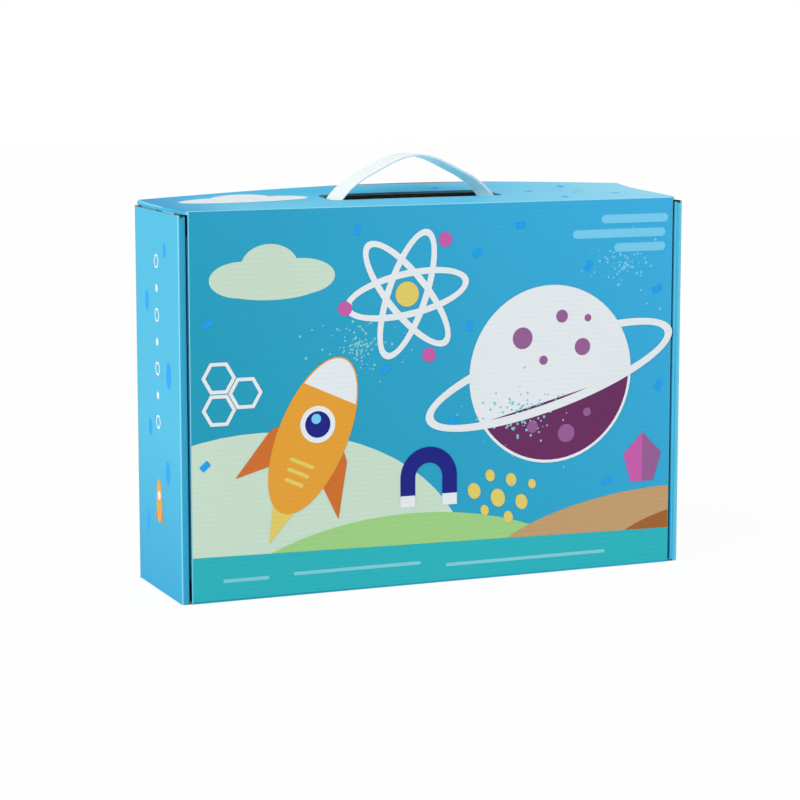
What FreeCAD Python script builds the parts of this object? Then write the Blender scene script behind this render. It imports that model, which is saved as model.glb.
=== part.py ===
import FreeCAD, Part
import math
import os

os.makedirs("parts", exist_ok=True)

# A science kit in a roll-end tuck-front carton that stands on its hinge side.
# The front is the lid, the top is the lid's tuck flap, and a cell divider
# inside holds the apparatus. The carton is sized from the inside out: the
# apparatus sets the cells, and the cells set the carton.
# Lengths are in millimetres. +X is the viewer's right, +Y is the back, +Z is up.

# Carton board and folds
board = 1.6
fold_round = 1.2
edge_round = 0.5
slip = 0.3
lid_side_gap = 1.7
wall_end_gap = 0.4
wall_top_drop = 2.6
wall_fold_drop = 4.2
top_wall_set_back = 1.0
top_wall_nick = 24.0
flap_back_set_in = 1.0
flap_corner_step = 2.4
flap_corner_cut = 3.0
overrun = 5.0
pick_range = 0.01

# Dust flaps, corner flaps, tuck ears and lock tabs
dust_flap_depth = 32.0
dust_flap_end_gap = 16.0
dust_flap_taper = 12.0
swing_room = 5.2
bottom_corner_flap_height = 40.0
top_corner_flap_height = 36.0
top_corner_flap_depth = 38.0
top_corner_flap_set_back = 14.0
corner_flap_gap = 2.0
ear_depth = 84.0
ear_swing_gap = 1.6
ear_round = 3.0
lock_tab_height = 30.0
lock_tab_rise = 70.0
lock_tab_slack = 0.2

# Handle and its slot
slot_end_room = 5.0
slot_side_room = 2.0
slot_corner_round = 6.0
slot_set_back = 51.0
strap_width = 28.0
strap_thickness = 1.6
strap_lean_degrees = 3.0
handle_half_span = 55.0
handle_rise = 30.4
handle_push = 27.0
handle_leg_kick = 4.0
wing_length = 13.0
wing_catch = 2.5
wing_thickness = 2.2
notch_side_room = 8.0
notch_back_room = 1.0
handle_room = 4.9

# Half of the strap's middle line: shares of the half span and of the rise
arch_shares = [(0.0, 1.0), (0.2, 0.95), (0.56, 0.675), (0.8, 0.41), (1.0, 0.08)]
arch_stations = 40

# Cell divider
divider_depth = 50.0
lap_slack = 0.1
bay_clearance = 1.0
finger_room = 4.8

# Conical flask and stopper
flask_diameter = 54.0
flask_height = 98.0
flask_neck_diameter = 24.0
flask_neck_height = 28.0
flask_lip_width = 2.0
flask_lip_height = 3.0
flask_foot_round = 3.0
vessel_wall = 1.6
flask_stopper_head_height = 8.0
flask_stopper_plug_depth = 13.0
stopper_lift = 14.0

# Beaker, petri dish and funnel
beaker_diameter = 50.0
beaker_height = 68.0
beaker_lip_width = 1.6
beaker_foot_round = 3.0
petri_diameter = 50.0
petri_height = 11.0
petri_wall = 1.2
petri_cover_gap = 0.4
petri_cover_height = 9.0
funnel_diameter = 54.0
funnel_rim_height = 3.0
funnel_cone_height = 38.0
funnel_stem_length = 34.0
funnel_stem_diameter = 12.0
funnel_tip_diameter = 11.0

# Powder bottles and screw caps
bottle_diameter = 36.0
bottle_body_height = 40.0
bottle_shoulder_height = 6.0
bottle_neck_diameter = 24.0
bottle_neck_height = 10.0
bottle_foot_round = 1.5
cap_diameter = 29.0
cap_top = 2.2
cap_edge_round = 1.0

# Test tubes and stoppers
tube_diameter = 16.0
tube_length = 100.0
tube_wall = 1.0
tube_lip_width = 0.7
tube_lip_height = 2.0
tube_stopper_diameter = 18.0
tube_stopper_head_height = 7.0
tube_stopper_plug_depth = 12.0
stopper_taper = 0.5
stopper_edge = 0.8

# Dropper, stirring rod and syringe
dropper_tube_diameter = 7.0
dropper_tip_diameter = 3.0
dropper_tip_length = 22.0
dropper_tube_length = 68.0
dropper_bore_diameter = 1.6
bulb_diameter = 14.0
bulb_length = 36.0
bulb_grip = 10.0
bulb_collar_diameter = 12.0
bulb_slack = 0.1
rod_diameter = 6.0
rod_length = 94.0
paddle_width = 14.0
paddle_height = 22.0
paddle_thickness = 2.4
syringe_diameter = 16.0
syringe_wall = 1.1
syringe_length = 46.0
syringe_nozzle_diameter = 5.0
syringe_nozzle_bore = 2.0
syringe_nozzle_length = 8.0
syringe_floor = 2.0
syringe_flange_diameter = 18.0
syringe_flange_height = 2.0
plunger_seal_height = 7.0
plunger_rod_diameter = 6.0
plunger_disc_diameter = 17.0
plunger_disc_height = 2.4
plunger_stand_out = 7.0
plunger_pull = 30.0

# Magnifier
lens_diameter = 42.0
lens_edge = 2.0
lens_bulge = 1.6
lens_slack = 0.1
magnifier_ring_width = 3.4
magnifier_ring_depth = 6.0
magnifier_ferrule_diameter = 7.0
magnifier_ferrule_length = 8.0
magnifier_grip_diameter = 10.0
magnifier_grip_length = 41.0

# Booklet
booklet_width = 105.0
booklet_height = 210.0
booklet_cover_thickness = 0.6
booklet_pages_thickness = 4.0
booklet_page_set_in = 1.0

full_turn = 360

# Cells, from left to right, and the carton that closes round them
widest_round = max(flask_diameter, beaker_diameter + 2 * beaker_lip_width, funnel_diameter)
petri_cover_diameter = petri_diameter + 2 * petri_cover_gap + 2 * petri_wall
magnifier_ring_diameter = lens_diameter + 2 * magnifier_ring_width
widest_round = max(widest_round, petri_cover_diameter, magnifier_ring_diameter)
round_cell = widest_round + 2 * slip
bottle_cell = max(bottle_diameter, cap_diameter) + 2 * slip
widest_slim = max(tube_stopper_diameter, tube_diameter + 2 * tube_lip_width, bulb_diameter)
widest_slim = max(widest_slim, syringe_flange_diameter, plunger_disc_diameter, paddle_width)
slim_cell = widest_slim + 2 * slip
booklet_cell = booklet_width + finger_room
cells = [round_cell, bottle_cell, slim_cell, slim_cell, slim_cell, bottle_cell, round_cell]
cells.append(booklet_cell)
inside_width = sum(cells) + (len(cells) - 1) * board

channel = board + 2 * slip
side_wall = 2 * board + channel
width = inside_width + 2 * side_wall
half_width = width / 2

cell_depth = max(widest_round, bottle_cell, divider_depth) + 2 * slip
depth = 2 * board + dust_flap_depth + swing_room + cell_depth
front = -depth / 2
back = depth / 2
back_inner = back - board

bottle_height = bottle_body_height + bottle_shoulder_height + bottle_neck_height
tube_stack = tube_length + tube_stopper_head_height + stopper_lift
flask_stack = flask_height + flask_stopper_head_height + stopper_lift
funnel_height = funnel_rim_height + funnel_cone_height + funnel_stem_length
lower_bay = max(tube_stack, flask_stack, funnel_height, bottle_height + cap_top) + bay_clearance
magnifier_height = magnifier_grip_length + magnifier_ferrule_length + magnifier_ring_diameter
syringe_stack = syringe_nozzle_length + syringe_length
syringe_stack += plunger_stand_out + plunger_disc_height + plunger_pull
dropper_height = dropper_tube_length + bulb_length - bulb_grip
dish_stack = petri_height + petri_wall + beaker_height
upper_bay = max(magnifier_height, syringe_stack, dropper_height, dish_stack, rod_length) + bay_clearance
lower_floor = board
shelf_low = lower_floor + lower_bay
upper_floor = shelf_low + board
divider_top = upper_floor + upper_bay
wing_low = board + slip + wing_thickness
height = divider_top + wing_low + handle_push + handle_room

flap_low = height - board
top_wall_high = flap_low - slip
top_wall_low = top_wall_high - board
wall_top = height - wall_top_drop
lid_half = half_width - side_wall - lid_side_gap
flap_half = half_width - board - slip
slot_middle = front + slot_set_back
slot_length = 2 * (handle_half_span + handle_leg_kick + slot_end_room)
slot_width = strap_width + 2 * slot_side_room
wing_width = slot_width + 2 * wing_catch


# Helpers
def block(x_low, y_low, z_low, x_high, y_high, z_high):
    """Make a box from its low corner to its high corner."""
    corner = FreeCAD.Vector(x_low, y_low, z_low)
    return Part.makeBox(x_high - x_low, y_high - y_low, z_high - z_low, corner)


def plate(right_half, z, thickness):
    """Make a flat plate from the right half of its outline, as (x, y) points from front to back."""
    left_half = [(-x, y) for x, y in reversed(right_half)]
    points = [FreeCAD.Vector(x, y, z) for x, y in right_half + left_half]
    return Part.Face(Part.makePolygon(points + [points[0]])).extrude(FreeCAD.Vector(0, 0, thickness))


def mirrored(shape):
    """Mirror a left piece into its right-hand twin."""
    return shape.mirror(FreeCAD.Vector(0, 0, 0), FreeCAD.Vector(1, 0, 0))


def edges_near(shape, x=None, y=None, z=None):
    """Pick the straight edges that lie at the given places."""
    picked = []
    for edge in shape.Edges:
        bounds = edge.BoundBox
        near = True
        for want, low, high in ((x, bounds.XMin, bounds.XMax), (y, bounds.YMin, bounds.YMax),
                                (z, bounds.ZMin, bounds.ZMax)):
            if want is not None and (abs(low - want) > pick_range or abs(high - want) > pick_range):
                near = False
        if near:
            picked.append(edge)
    return picked


def rounded(shape, radius, *places):
    """Round the straight edges at each of the given places."""
    picked = []
    for place in places:
        picked += edges_near(shape, **place)
    return shape.makeFillet(radius, picked)


def turned(outline, x, y, z):
    """Spin a closed outline of (radius, height) points about an upright axis."""
    points = [FreeCAD.Vector(radius, 0, rise) for radius, rise in outline]
    face = Part.Face(Part.makePolygon(points + [points[0]]))
    solid = face.revolve(FreeCAD.Vector(0, 0, 0), FreeCAD.Vector(0, 0, 1), full_turn)
    solid.translate(FreeCAD.Vector(x, y, z))
    return solid


def save(name, shape):
    """Write one piece."""
    shape.exportStep("parts/" + name + ".step")


# Back panel: its four outer edges are creases, and it is slotted for the lock tabs
inner_wall_outer = half_width - board - channel
inner_wall_inner = half_width - side_wall
back_panel = block(-half_width, back_inner, 0, half_width, back, top_wall_high)
back_panel = rounded(back_panel, fold_round, {"x": -half_width, "y": back},
                     {"x": half_width, "y": back}, {"y": back, "z": 0}, {"y": back, "z": top_wall_high})
tab_lows = [lower_floor + lock_tab_rise, top_wall_low - lock_tab_rise - lock_tab_height]
for tab_low in tab_lows:
    for side in (-1, 1):
        edges = [side * (inner_wall_inner - lock_tab_slack), side * (inner_wall_outer + lock_tab_slack)]
        edges.sort()
        slot = block(edges[0], back_inner - overrun, tab_low - lock_tab_slack,
                     edges[1], back + overrun, tab_low + lock_tab_height + lock_tab_slack)
        back_panel = back_panel.cut(slot)
save("back_panel", back_panel)

# Bottom wall, on which the kit stands
bottom_wall = block(-half_width + board, front + board + slip, 0,
                    half_width - board, back_inner, board)
save("bottom_wall", bottom_wall)

# Top wall under the tuck flap: notched for the handle, short at its ends so that the ears clear it, and
# nicked at its front corners
wing_end = handle_half_span + handle_leg_kick + wing_length / 2
notch_half = max(slot_length / 2, wing_end) + notch_side_room
wing_reach = slot_set_back + wing_width / 2
notch_depth = math.hypot(wing_reach, wing_low + handle_push) + notch_back_room
ear_room = flap_half - board - slip
top_wall_front = front + board + top_wall_set_back
corner_flap_front = front + top_corner_flap_set_back
top_wall = plate([(ear_room - top_wall_nick, top_wall_front), (ear_room, corner_flap_front),
                  (ear_room, back_inner)], top_wall_low, board)
notch = block(-notch_half, front - overrun, top_wall_low - overrun,
              notch_half, front + notch_depth, top_wall_high + overrun)
top_wall = top_wall.cut(notch)
save("top_wall", top_wall)

# Side walls: an outer layer, a narrow front fold and an inner layer with lock tabs
outer_wall = block(-half_width, front, wall_end_gap, -half_width + board, back_inner, wall_top)
outer_wall = rounded(outer_wall, fold_round, {"x": -half_width, "y": front})
save("outer_wall_left", outer_wall)
save("outer_wall_right", mirrored(outer_wall))

wall_fold = block(-half_width + board, front, wall_end_gap,
                  -inner_wall_outer, front + board, height - wall_fold_drop)
save("wall_fold_left", wall_fold)
save("wall_fold_right", mirrored(wall_fold))

inner_wall = block(-inner_wall_outer, front, board, -inner_wall_inner, back_inner, top_wall_low)
inner_wall = rounded(inner_wall, fold_round, {"x": -inner_wall_inner, "y": front})
for tab_low in tab_lows:
    tab = block(-inner_wall_outer, back_inner - overrun, tab_low,
                -inner_wall_inner, back, tab_low + lock_tab_height)
    inner_wall = inner_wall.fuse(tab)
inner_wall = inner_wall.removeSplitter()
save("inner_wall_left", inner_wall)
save("inner_wall_right", mirrored(inner_wall))

# Corner flaps in the hollow of each side wall
corner_outer = half_width - board - slip
corner_inner = corner_outer - board
low_flap_front = front + board + corner_flap_gap
low_flap_back = back_inner - corner_flap_gap
low_flap_top = board + bottom_corner_flap_height
low_flap = block(-corner_outer, low_flap_front, board, -corner_inner, low_flap_back, low_flap_top)
low_flap = rounded(low_flap, ear_round, {"y": low_flap_front, "z": low_flap_top},
                   {"y": low_flap_back, "z": low_flap_top})
save("corner_flap_bottom_left", low_flap)
save("corner_flap_bottom_right", mirrored(low_flap))

high_flap_back = front + top_corner_flap_depth
high_flap_low = top_wall_low - top_corner_flap_height
high_flap = block(-corner_outer, corner_flap_front, high_flap_low,
                  -corner_inner, high_flap_back, top_wall_low)
high_flap = rounded(high_flap, ear_round, {"y": corner_flap_front, "z": high_flap_low},
                    {"y": high_flap_back, "z": high_flap_low})
high_fold = block(-corner_outer, corner_flap_front, top_wall_low, -ear_room, high_flap_back, top_wall_high)
high_fold = rounded(high_fold, fold_round, {"x": -corner_outer, "z": top_wall_high})
high_flap = high_flap.fuse(high_fold).removeSplitter()
save("corner_flap_top_left", high_flap)
save("corner_flap_top_right", mirrored(high_flap))

# Lid: its bottom edge is creased to the bottom wall, its top edge to the tuck flap
lid_panel = block(-lid_half, front, 0, lid_half, front + board, flap_low - slip)
lid_panel = rounded(lid_panel, fold_round, {"y": front, "z": 0})
lid_panel = rounded(lid_panel, edge_round, {"x": -lid_half, "y": front}, {"x": lid_half, "y": front})
save("lid_panel", lid_panel)

# Dust flaps on the lid's side edges, tapered so that they find their way in
dust_front = front + board + slip
dust_back = front + board + dust_flap_depth
dust_low = dust_flap_end_gap
dust_high = height - dust_flap_end_gap
dust_points = [(dust_front, dust_low), (dust_back, dust_low + dust_flap_taper),
               (dust_back, dust_high - dust_flap_taper), (dust_front, dust_high)]
dust_vectors = [FreeCAD.Vector(-lid_half, y, z) for y, z in dust_points]
dust_face = Part.Face(Part.makePolygon(dust_vectors + [dust_vectors[0]]))
dust_flap = dust_face.extrude(FreeCAD.Vector(board, 0, 0))
save("dust_flap_left", dust_flap)
save("dust_flap_right", mirrored(dust_flap))

# Tuck flap: its ends widen from the lid's corners to the ears, and it has a round-cornered handle slot
ear_radius = math.hypot(top_wall_high, top_corner_flap_depth) + ear_swing_gap
ear_start = math.sqrt(ear_radius ** 2 - flap_low ** 2)
tuck_flap = plate([(lid_half, front), (lid_half + flap_corner_step, front + flap_corner_cut),
                   (flap_half, front + ear_start), (flap_half, back - flap_back_set_in)], flap_low, board)
tuck_flap = rounded(tuck_flap, fold_round, {"y": front, "z": height})
slot_half = slot_length / 2
slot_front = slot_middle - slot_width / 2
slot_back = slot_middle + slot_width / 2
slot = block(-slot_half, slot_front, flap_low - overrun, slot_half, slot_back, height + overrun)
slot = rounded(slot, slot_corner_round, {"x": -slot_half, "y": slot_front}, {"x": slot_half, "y": slot_front},
               {"x": -slot_half, "y": slot_back}, {"x": slot_half, "y": slot_back})
tuck_flap = tuck_flap.cut(slot)
save("tuck_flap", tuck_flap)

# Tuck ears: the lower edge is an arc about the lid's crease, so that they swing over the corner flaps
ear_low = math.sqrt(ear_radius ** 2 - ear_depth ** 2)
ear_half_reach = (ear_start + ear_depth) / 2
ear_half_low = math.sqrt(ear_radius ** 2 - ear_half_reach ** 2)
ear_first = FreeCAD.Vector(-flap_half, front + ear_start, flap_low)
ear_second = FreeCAD.Vector(-flap_half, front + ear_depth, flap_low)
ear_third = FreeCAD.Vector(-flap_half, front + ear_depth, ear_low)
ear_between = FreeCAD.Vector(-flap_half, front + ear_half_reach, ear_half_low)
ear_wire = Part.Wire([Part.makeLine(ear_first, ear_second), Part.makeLine(ear_second, ear_third),
                      Part.Arc(ear_third, ear_between, ear_first).toShape()])
tuck_ear = Part.Face(ear_wire).extrude(FreeCAD.Vector(board, 0, 0))
tuck_ear = rounded(tuck_ear, ear_round, {"y": front + ear_depth, "z": ear_low})
save("tuck_ear_left", tuck_ear)
save("tuck_ear_right", mirrored(tuck_ear))

# Carry handle: a bent strap that leans back a little and drops through the slot, with wings that catch
# under the flap
arch_half = [(across * handle_half_span, up * handle_rise) for across, up in arch_shares]
leg_end = (handle_half_span + handle_leg_kick, -(board + slip + wing_thickness / 2))
arch_half.append(leg_end)
arch_points = [FreeCAD.Vector(-x, 0, z) for x, z in reversed(arch_half)]
arch_points += [FreeCAD.Vector(x, 0, z) for x, z in arch_half[1:]]
middle_line = Part.BSplineCurve()
middle_line.interpolate(arch_points)
over_points = []
under_points = []
for station in range(arch_stations + 1):
    place = middle_line.FirstParameter
    place += (middle_line.LastParameter - middle_line.FirstParameter) * station / arch_stations
    point = middle_line.value(place)
    along = middle_line.tangent(place)[0]
    across = FreeCAD.Vector(-along.z, 0, along.x)
    over_points.append(point + across * (strap_thickness / 2))
    under_points.append(point - across * (strap_thickness / 2))
over_line = Part.BSplineCurve()
over_line.interpolate(over_points)
under_line = Part.BSplineCurve()
under_line.interpolate(under_points)
strap_wire = Part.Wire([under_line.toShape(), Part.makeLine(under_points[-1], over_points[-1]),
                        over_line.toShape(), Part.makeLine(over_points[0], under_points[0])])
strap = Part.Face(strap_wire).extrude(FreeCAD.Vector(0, strap_width, 0))
strap.translate(FreeCAD.Vector(0, slot_middle - strap_width / 2, height))
strap.rotate(FreeCAD.Vector(0, slot_middle, height), FreeCAD.Vector(-1, 0, 0), strap_lean_degrees)
for side in (-1, 1):
    middle = side * leg_end[0]
    wing = block(middle - wing_length / 2, slot_middle - wing_width / 2, height - wing_low,
                 middle + wing_length / 2, slot_middle + wing_width / 2, height - board - slip)
    strap = strap.fuse(wing)
save("carry_handle", strap.removeSplitter())

# Cell divider: uprights slotted from the front, a shelf slotted from the back
divider_front = back_inner - divider_depth
lap_middle = (divider_front + back_inner) / 2
cell_lefts = []
left = -inside_width / 2
for cell in cells:
    cell_lefts.append(left)
    left += cell + board
cell_middles = [low + cell / 2 for low, cell in zip(cell_lefts, cells)]
divider_lefts = [low - board for low in cell_lefts[1:]]
for number, divider_left in enumerate(divider_lefts, start=1):
    divider = block(divider_left, divider_front, lower_floor,
                    divider_left + board, back_inner, divider_top)
    lap = block(divider_left - overrun, divider_front - overrun, shelf_low - lap_slack,
                divider_left + board + overrun, lap_middle + lap_slack, upper_floor + lap_slack)
    save("divider_" + str(number), divider.cut(lap))

shelf = block(-inside_width / 2, divider_front, shelf_low,
              divider_lefts[-1] + board, back_inner, upper_floor)
for divider_left in divider_lefts:
    lap = block(divider_left - lap_slack, lap_middle - lap_slack, shelf_low - overrun,
                divider_left + board + lap_slack, back_inner + overrun, upper_floor + overrun)
    shelf = shelf.cut(lap)
save("shelf", shelf)


def seat(radius):
    """Give the place of an upright axis whose piece stands against the back panel."""
    return back_inner - slip - radius


# Conical flask and its stopper, in the first cell
flask_radius = flask_diameter / 2
neck_radius = flask_neck_diameter / 2
neck_low = flask_height - flask_neck_height
flask_x = cell_middles[0]
flask_y = seat(flask_radius)
flask = turned([(0, 0), (flask_radius - flask_foot_round, 0), (flask_radius, flask_foot_round),
                (neck_radius, neck_low), (neck_radius, flask_height - flask_lip_height),
                (neck_radius + flask_lip_width, flask_height - flask_lip_height),
                (neck_radius + flask_lip_width, flask_height), (neck_radius - vessel_wall, flask_height),
                (neck_radius - vessel_wall, neck_low),
                (flask_radius - vessel_wall, flask_foot_round + vessel_wall),
                (flask_radius - flask_foot_round, vessel_wall), (0, vessel_wall)],
               flask_x, flask_y, lower_floor)
save("flask", flask)
bore_radius = neck_radius - vessel_wall
head_radius = neck_radius + flask_lip_width
stopper = turned([(0, -flask_stopper_plug_depth),
                  (bore_radius - slip - stopper_taper, -flask_stopper_plug_depth),
                  (bore_radius - slip, slip), (head_radius, slip),
                  (head_radius, flask_stopper_head_height - stopper_edge),
                  (head_radius - stopper_edge, flask_stopper_head_height), (0, flask_stopper_head_height)],
                 flask_x, flask_y, lower_floor + flask_height)
save("flask_stopper", stopper)

# Petri dish, its cover, and the beaker that stands on them
petri_radius = petri_diameter / 2
cover_radius = petri_cover_diameter / 2
dish_y = seat(max(cover_radius, beaker_diameter / 2 + beaker_lip_width))
dish_x = cell_middles[0]
petri_dish = turned([(0, 0), (petri_radius, 0), (petri_radius, petri_height),
                     (petri_radius - petri_wall, petri_height), (petri_radius - petri_wall, petri_wall),
                     (0, petri_wall)], dish_x, dish_y, upper_floor)
save("petri_dish", petri_dish)
cover_top = petri_height + petri_wall
petri_cover = turned([(0, petri_height), (petri_radius + petri_cover_gap, petri_height),
                      (petri_radius + petri_cover_gap, cover_top - petri_cover_height),
                      (cover_radius, cover_top - petri_cover_height), (cover_radius, cover_top),
                      (0, cover_top)], dish_x, dish_y, upper_floor)
save("petri_cover", petri_cover)
beaker_radius = beaker_diameter / 2
beaker = turned([(0, 0), (beaker_radius - beaker_foot_round, 0), (beaker_radius, beaker_foot_round),
                 (beaker_radius, beaker_height - vessel_wall),
                 (beaker_radius + beaker_lip_width, beaker_height - vessel_wall),
                 (beaker_radius + beaker_lip_width, beaker_height),
                 (beaker_radius - vessel_wall, beaker_height),
                 (beaker_radius - vessel_wall, beaker_foot_round),
                 (beaker_radius - beaker_foot_round, vessel_wall), (0, vessel_wall)],
                dish_x, dish_y, upper_floor + cover_top)
save("beaker", beaker)

# Powder bottles and screw caps, in the second and sixth cells
bottle_radius = bottle_diameter / 2
bottle_neck_radius = bottle_neck_diameter / 2
cap_radius = cap_diameter / 2
cap_skirt_low = bottle_body_height + bottle_shoulder_height + slip
bottle_places = [(cell_middles[1], lower_floor), (cell_middles[1], upper_floor),
                 (cell_middles[5], lower_floor), (cell_middles[5], upper_floor)]
for number, (bottle_x, bottle_z) in enumerate(bottle_places, start=1):
    bottle_y = seat(bottle_radius)
    bottle = turned([(0, 0), (bottle_radius - bottle_foot_round, 0), (bottle_radius, bottle_foot_round),
                     (bottle_radius, bottle_body_height),
                     (bottle_neck_radius, bottle_height - bottle_neck_height),
                     (bottle_neck_radius, bottle_height), (0, bottle_height)], bottle_x, bottle_y, bottle_z)
    save("bottle_" + str(number), bottle)
    cap_high = bottle_height + slip + cap_top
    cap = turned([(0, bottle_height + slip), (bottle_neck_radius + slip, bottle_height + slip),
                  (bottle_neck_radius + slip, cap_skirt_low), (cap_radius, cap_skirt_low),
                  (cap_radius, cap_high - cap_edge_round), (cap_radius - cap_edge_round, cap_high),
                  (0, cap_high)], bottle_x, bottle_y, bottle_z)
    save("bottle_cap_" + str(number), cap)

# Test tubes and stoppers, in the three slim cells
tube_radius = tube_diameter / 2
tube_bore = tube_radius - tube_wall
lip_radius = tube_radius + tube_lip_width
tube_stopper_radius = tube_stopper_diameter / 2
for number in range(1, 4):
    tube_x = cell_middles[1 + number]
    tube_y = seat(max(tube_stopper_radius, lip_radius))
    outer = Part.makeCylinder(tube_radius, tube_length - tube_radius, FreeCAD.Vector(0, 0, tube_radius))
    outer = outer.fuse(Part.makeSphere(tube_radius, FreeCAD.Vector(0, 0, tube_radius)))
    lip = Part.makeCylinder(lip_radius, tube_lip_height, FreeCAD.Vector(0, 0, tube_length - tube_lip_height))
    outer = outer.fuse(lip).removeSplitter()
    bore_length = tube_length - tube_radius + overrun
    inner = Part.makeCylinder(tube_bore, bore_length, FreeCAD.Vector(0, 0, tube_radius))
    inner = inner.fuse(Part.makeSphere(tube_bore, FreeCAD.Vector(0, 0, tube_radius))).removeSplitter()
    test_tube = outer.cut(inner)
    test_tube.translate(FreeCAD.Vector(tube_x, tube_y, lower_floor))
    save("test_tube_" + str(number), test_tube)
    tube_stopper = turned([(0, -tube_stopper_plug_depth),
                           (tube_bore - slip - stopper_taper, -tube_stopper_plug_depth),
                           (tube_bore - slip, slip), (tube_stopper_radius, slip),
                           (tube_stopper_radius, tube_stopper_head_height - stopper_edge),
                           (tube_stopper_radius - stopper_edge, tube_stopper_head_height),
                           (0, tube_stopper_head_height)], tube_x, tube_y, lower_floor + tube_length)
    save("tube_stopper_" + str(number), tube_stopper)

# Dropper: a drawn tube in a rubber bulb, in the third cell
dropper_x = cell_middles[2]
bulb_radius = bulb_diameter / 2
dropper_y = seat(bulb_radius)
dropper_radius = dropper_tube_diameter / 2
dropper_tip = dropper_tip_diameter / 2
dropper_bore = dropper_bore_diameter / 2
dropper_tube = turned([(dropper_bore, 0), (dropper_tip, 0), (dropper_radius, dropper_tip_length),
                       (dropper_radius, dropper_tube_length), (dropper_bore, dropper_tube_length)],
                      dropper_x, dropper_y, upper_floor)
save("dropper_tube", dropper_tube)
bulb_low = dropper_tube_length - bulb_grip
bulb_high = bulb_low + bulb_length
collar_radius = bulb_collar_diameter / 2
bulb_bore = dropper_radius + bulb_slack
bulb = turned([(bulb_bore, bulb_low), (collar_radius, bulb_low), (collar_radius, bulb_low + bulb_grip / 2),
               (collar_radius - stopper_edge, bulb_low + bulb_grip),
               (bulb_radius, bulb_low + bulb_length / 2), (bulb_radius, bulb_high - bulb_radius),
               (bulb_radius - stopper_edge, bulb_high - bulb_radius / 2),
               (bulb_radius / 2, bulb_high - stopper_edge), (0, bulb_high), (0, dropper_tube_length),
               (bulb_bore, dropper_tube_length)], dropper_x, dropper_y, upper_floor)
save("dropper_bulb", bulb)

# Stirring rod with a flat paddle, in the fourth cell
rod_radius = rod_diameter / 2
rod_x = cell_middles[3]
rod_y = seat(rod_radius)
rod = Part.makeCylinder(rod_radius, rod_length - rod_radius, FreeCAD.Vector(rod_x, rod_y, upper_floor))
rod_end = FreeCAD.Vector(rod_x, rod_y, upper_floor + rod_length - rod_radius)
rod = rod.fuse(Part.makeSphere(rod_radius, rod_end))
paddle = block(rod_x - paddle_width / 2, rod_y - paddle_thickness / 2, upper_floor,
               rod_x + paddle_width / 2, rod_y + paddle_thickness / 2, upper_floor + paddle_height)
paddle = rounded(paddle, ear_round, {"x": rod_x - paddle_width / 2, "z": upper_floor + paddle_height},
                 {"x": rod_x + paddle_width / 2, "z": upper_floor + paddle_height})
save("stirring_rod", rod.fuse(paddle).removeSplitter())

# Syringe barrel and plunger, in the fifth cell
syringe_x = cell_middles[4]
syringe_radius = syringe_diameter / 2
flange_radius = syringe_flange_diameter / 2
syringe_y = seat(flange_radius)
syringe_bore = syringe_radius - syringe_wall
nozzle_radius = syringe_nozzle_diameter / 2
nozzle_bore = syringe_nozzle_bore / 2
barrel_floor = syringe_nozzle_length + syringe_floor
barrel_top = syringe_nozzle_length + syringe_length
barrel = turned([(nozzle_bore, 0), (nozzle_radius, 0), (nozzle_radius, syringe_nozzle_length),
                 (syringe_radius, syringe_nozzle_length),
                 (syringe_radius, barrel_top - syringe_flange_height),
                 (flange_radius, barrel_top - syringe_flange_height), (flange_radius, barrel_top),
                 (syringe_bore, barrel_top), (syringe_bore, barrel_floor), (nozzle_bore, barrel_floor)],
                syringe_x, syringe_y, upper_floor)
save("syringe_barrel", barrel)
seal_low = barrel_floor + slip
seal_high = seal_low + plunger_seal_height
disc_low = barrel_top + plunger_stand_out
disc_high = disc_low + plunger_disc_height
rod_reach = plunger_rod_diameter / 2
disc_radius = plunger_disc_diameter / 2
plunger = turned([(0, seal_low), (syringe_bore - slip, seal_low), (syringe_bore - slip, seal_high),
                  (rod_reach, seal_high), (rod_reach, disc_low), (disc_radius, disc_low),
                  (disc_radius, disc_high), (0, disc_high)], syringe_x, syringe_y, upper_floor)
save("syringe_plunger", plunger)

# Funnel, rim down, in the seventh cell
funnel_radius = funnel_diameter / 2
stem_radius = funnel_stem_diameter / 2
tip_radius = funnel_tip_diameter / 2
cone_high = funnel_rim_height + funnel_cone_height
funnel = turned([(funnel_radius - vessel_wall, 0), (funnel_radius, 0), (funnel_radius, funnel_rim_height),
                 (stem_radius, cone_high), (tip_radius, funnel_height),
                 (tip_radius - vessel_wall, funnel_height),
                 (stem_radius - vessel_wall, cone_high - vessel_wall),
                 (funnel_radius - vessel_wall, funnel_rim_height - vessel_wall)],
                cell_middles[6], seat(funnel_radius), lower_floor)
save("funnel", funnel)

# Magnifier, above the funnel: a ring on a grip, and a lens that is thicker in its middle
lens_radius = lens_diameter / 2
ring_radius = magnifier_ring_diameter / 2
grip_radius = magnifier_grip_diameter / 2
magnifier_x = cell_middles[6]
magnifier_y = seat(max(grip_radius, magnifier_ring_depth / 2))
ferrule_high = magnifier_grip_length + magnifier_ferrule_length
lens_middle = FreeCAD.Vector(magnifier_x, magnifier_y, upper_floor + ferrule_high + ring_radius)
towards_back = FreeCAD.Vector(0, 1, 0)
ring_start = lens_middle - towards_back * (magnifier_ring_depth / 2)
ring = Part.makeCylinder(ring_radius, magnifier_ring_depth, ring_start, towards_back)
ring = ring.makeFillet(fold_round, ring.Edges)
grip_start = FreeCAD.Vector(magnifier_x, magnifier_y, upper_floor)
grip = Part.makeCylinder(grip_radius, magnifier_grip_length, grip_start)
grip = grip.makeFillet(fold_round, grip.Edges)
ferrule_length = magnifier_ferrule_length + 2 * magnifier_ring_width
ferrule_low = upper_floor + magnifier_grip_length - magnifier_ring_width
ferrule_start = FreeCAD.Vector(magnifier_x, magnifier_y, ferrule_low)
ferrule = Part.makeCylinder(magnifier_ferrule_diameter / 2, ferrule_length, ferrule_start)
frame = ring.fuse(grip.fuse(ferrule))
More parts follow.
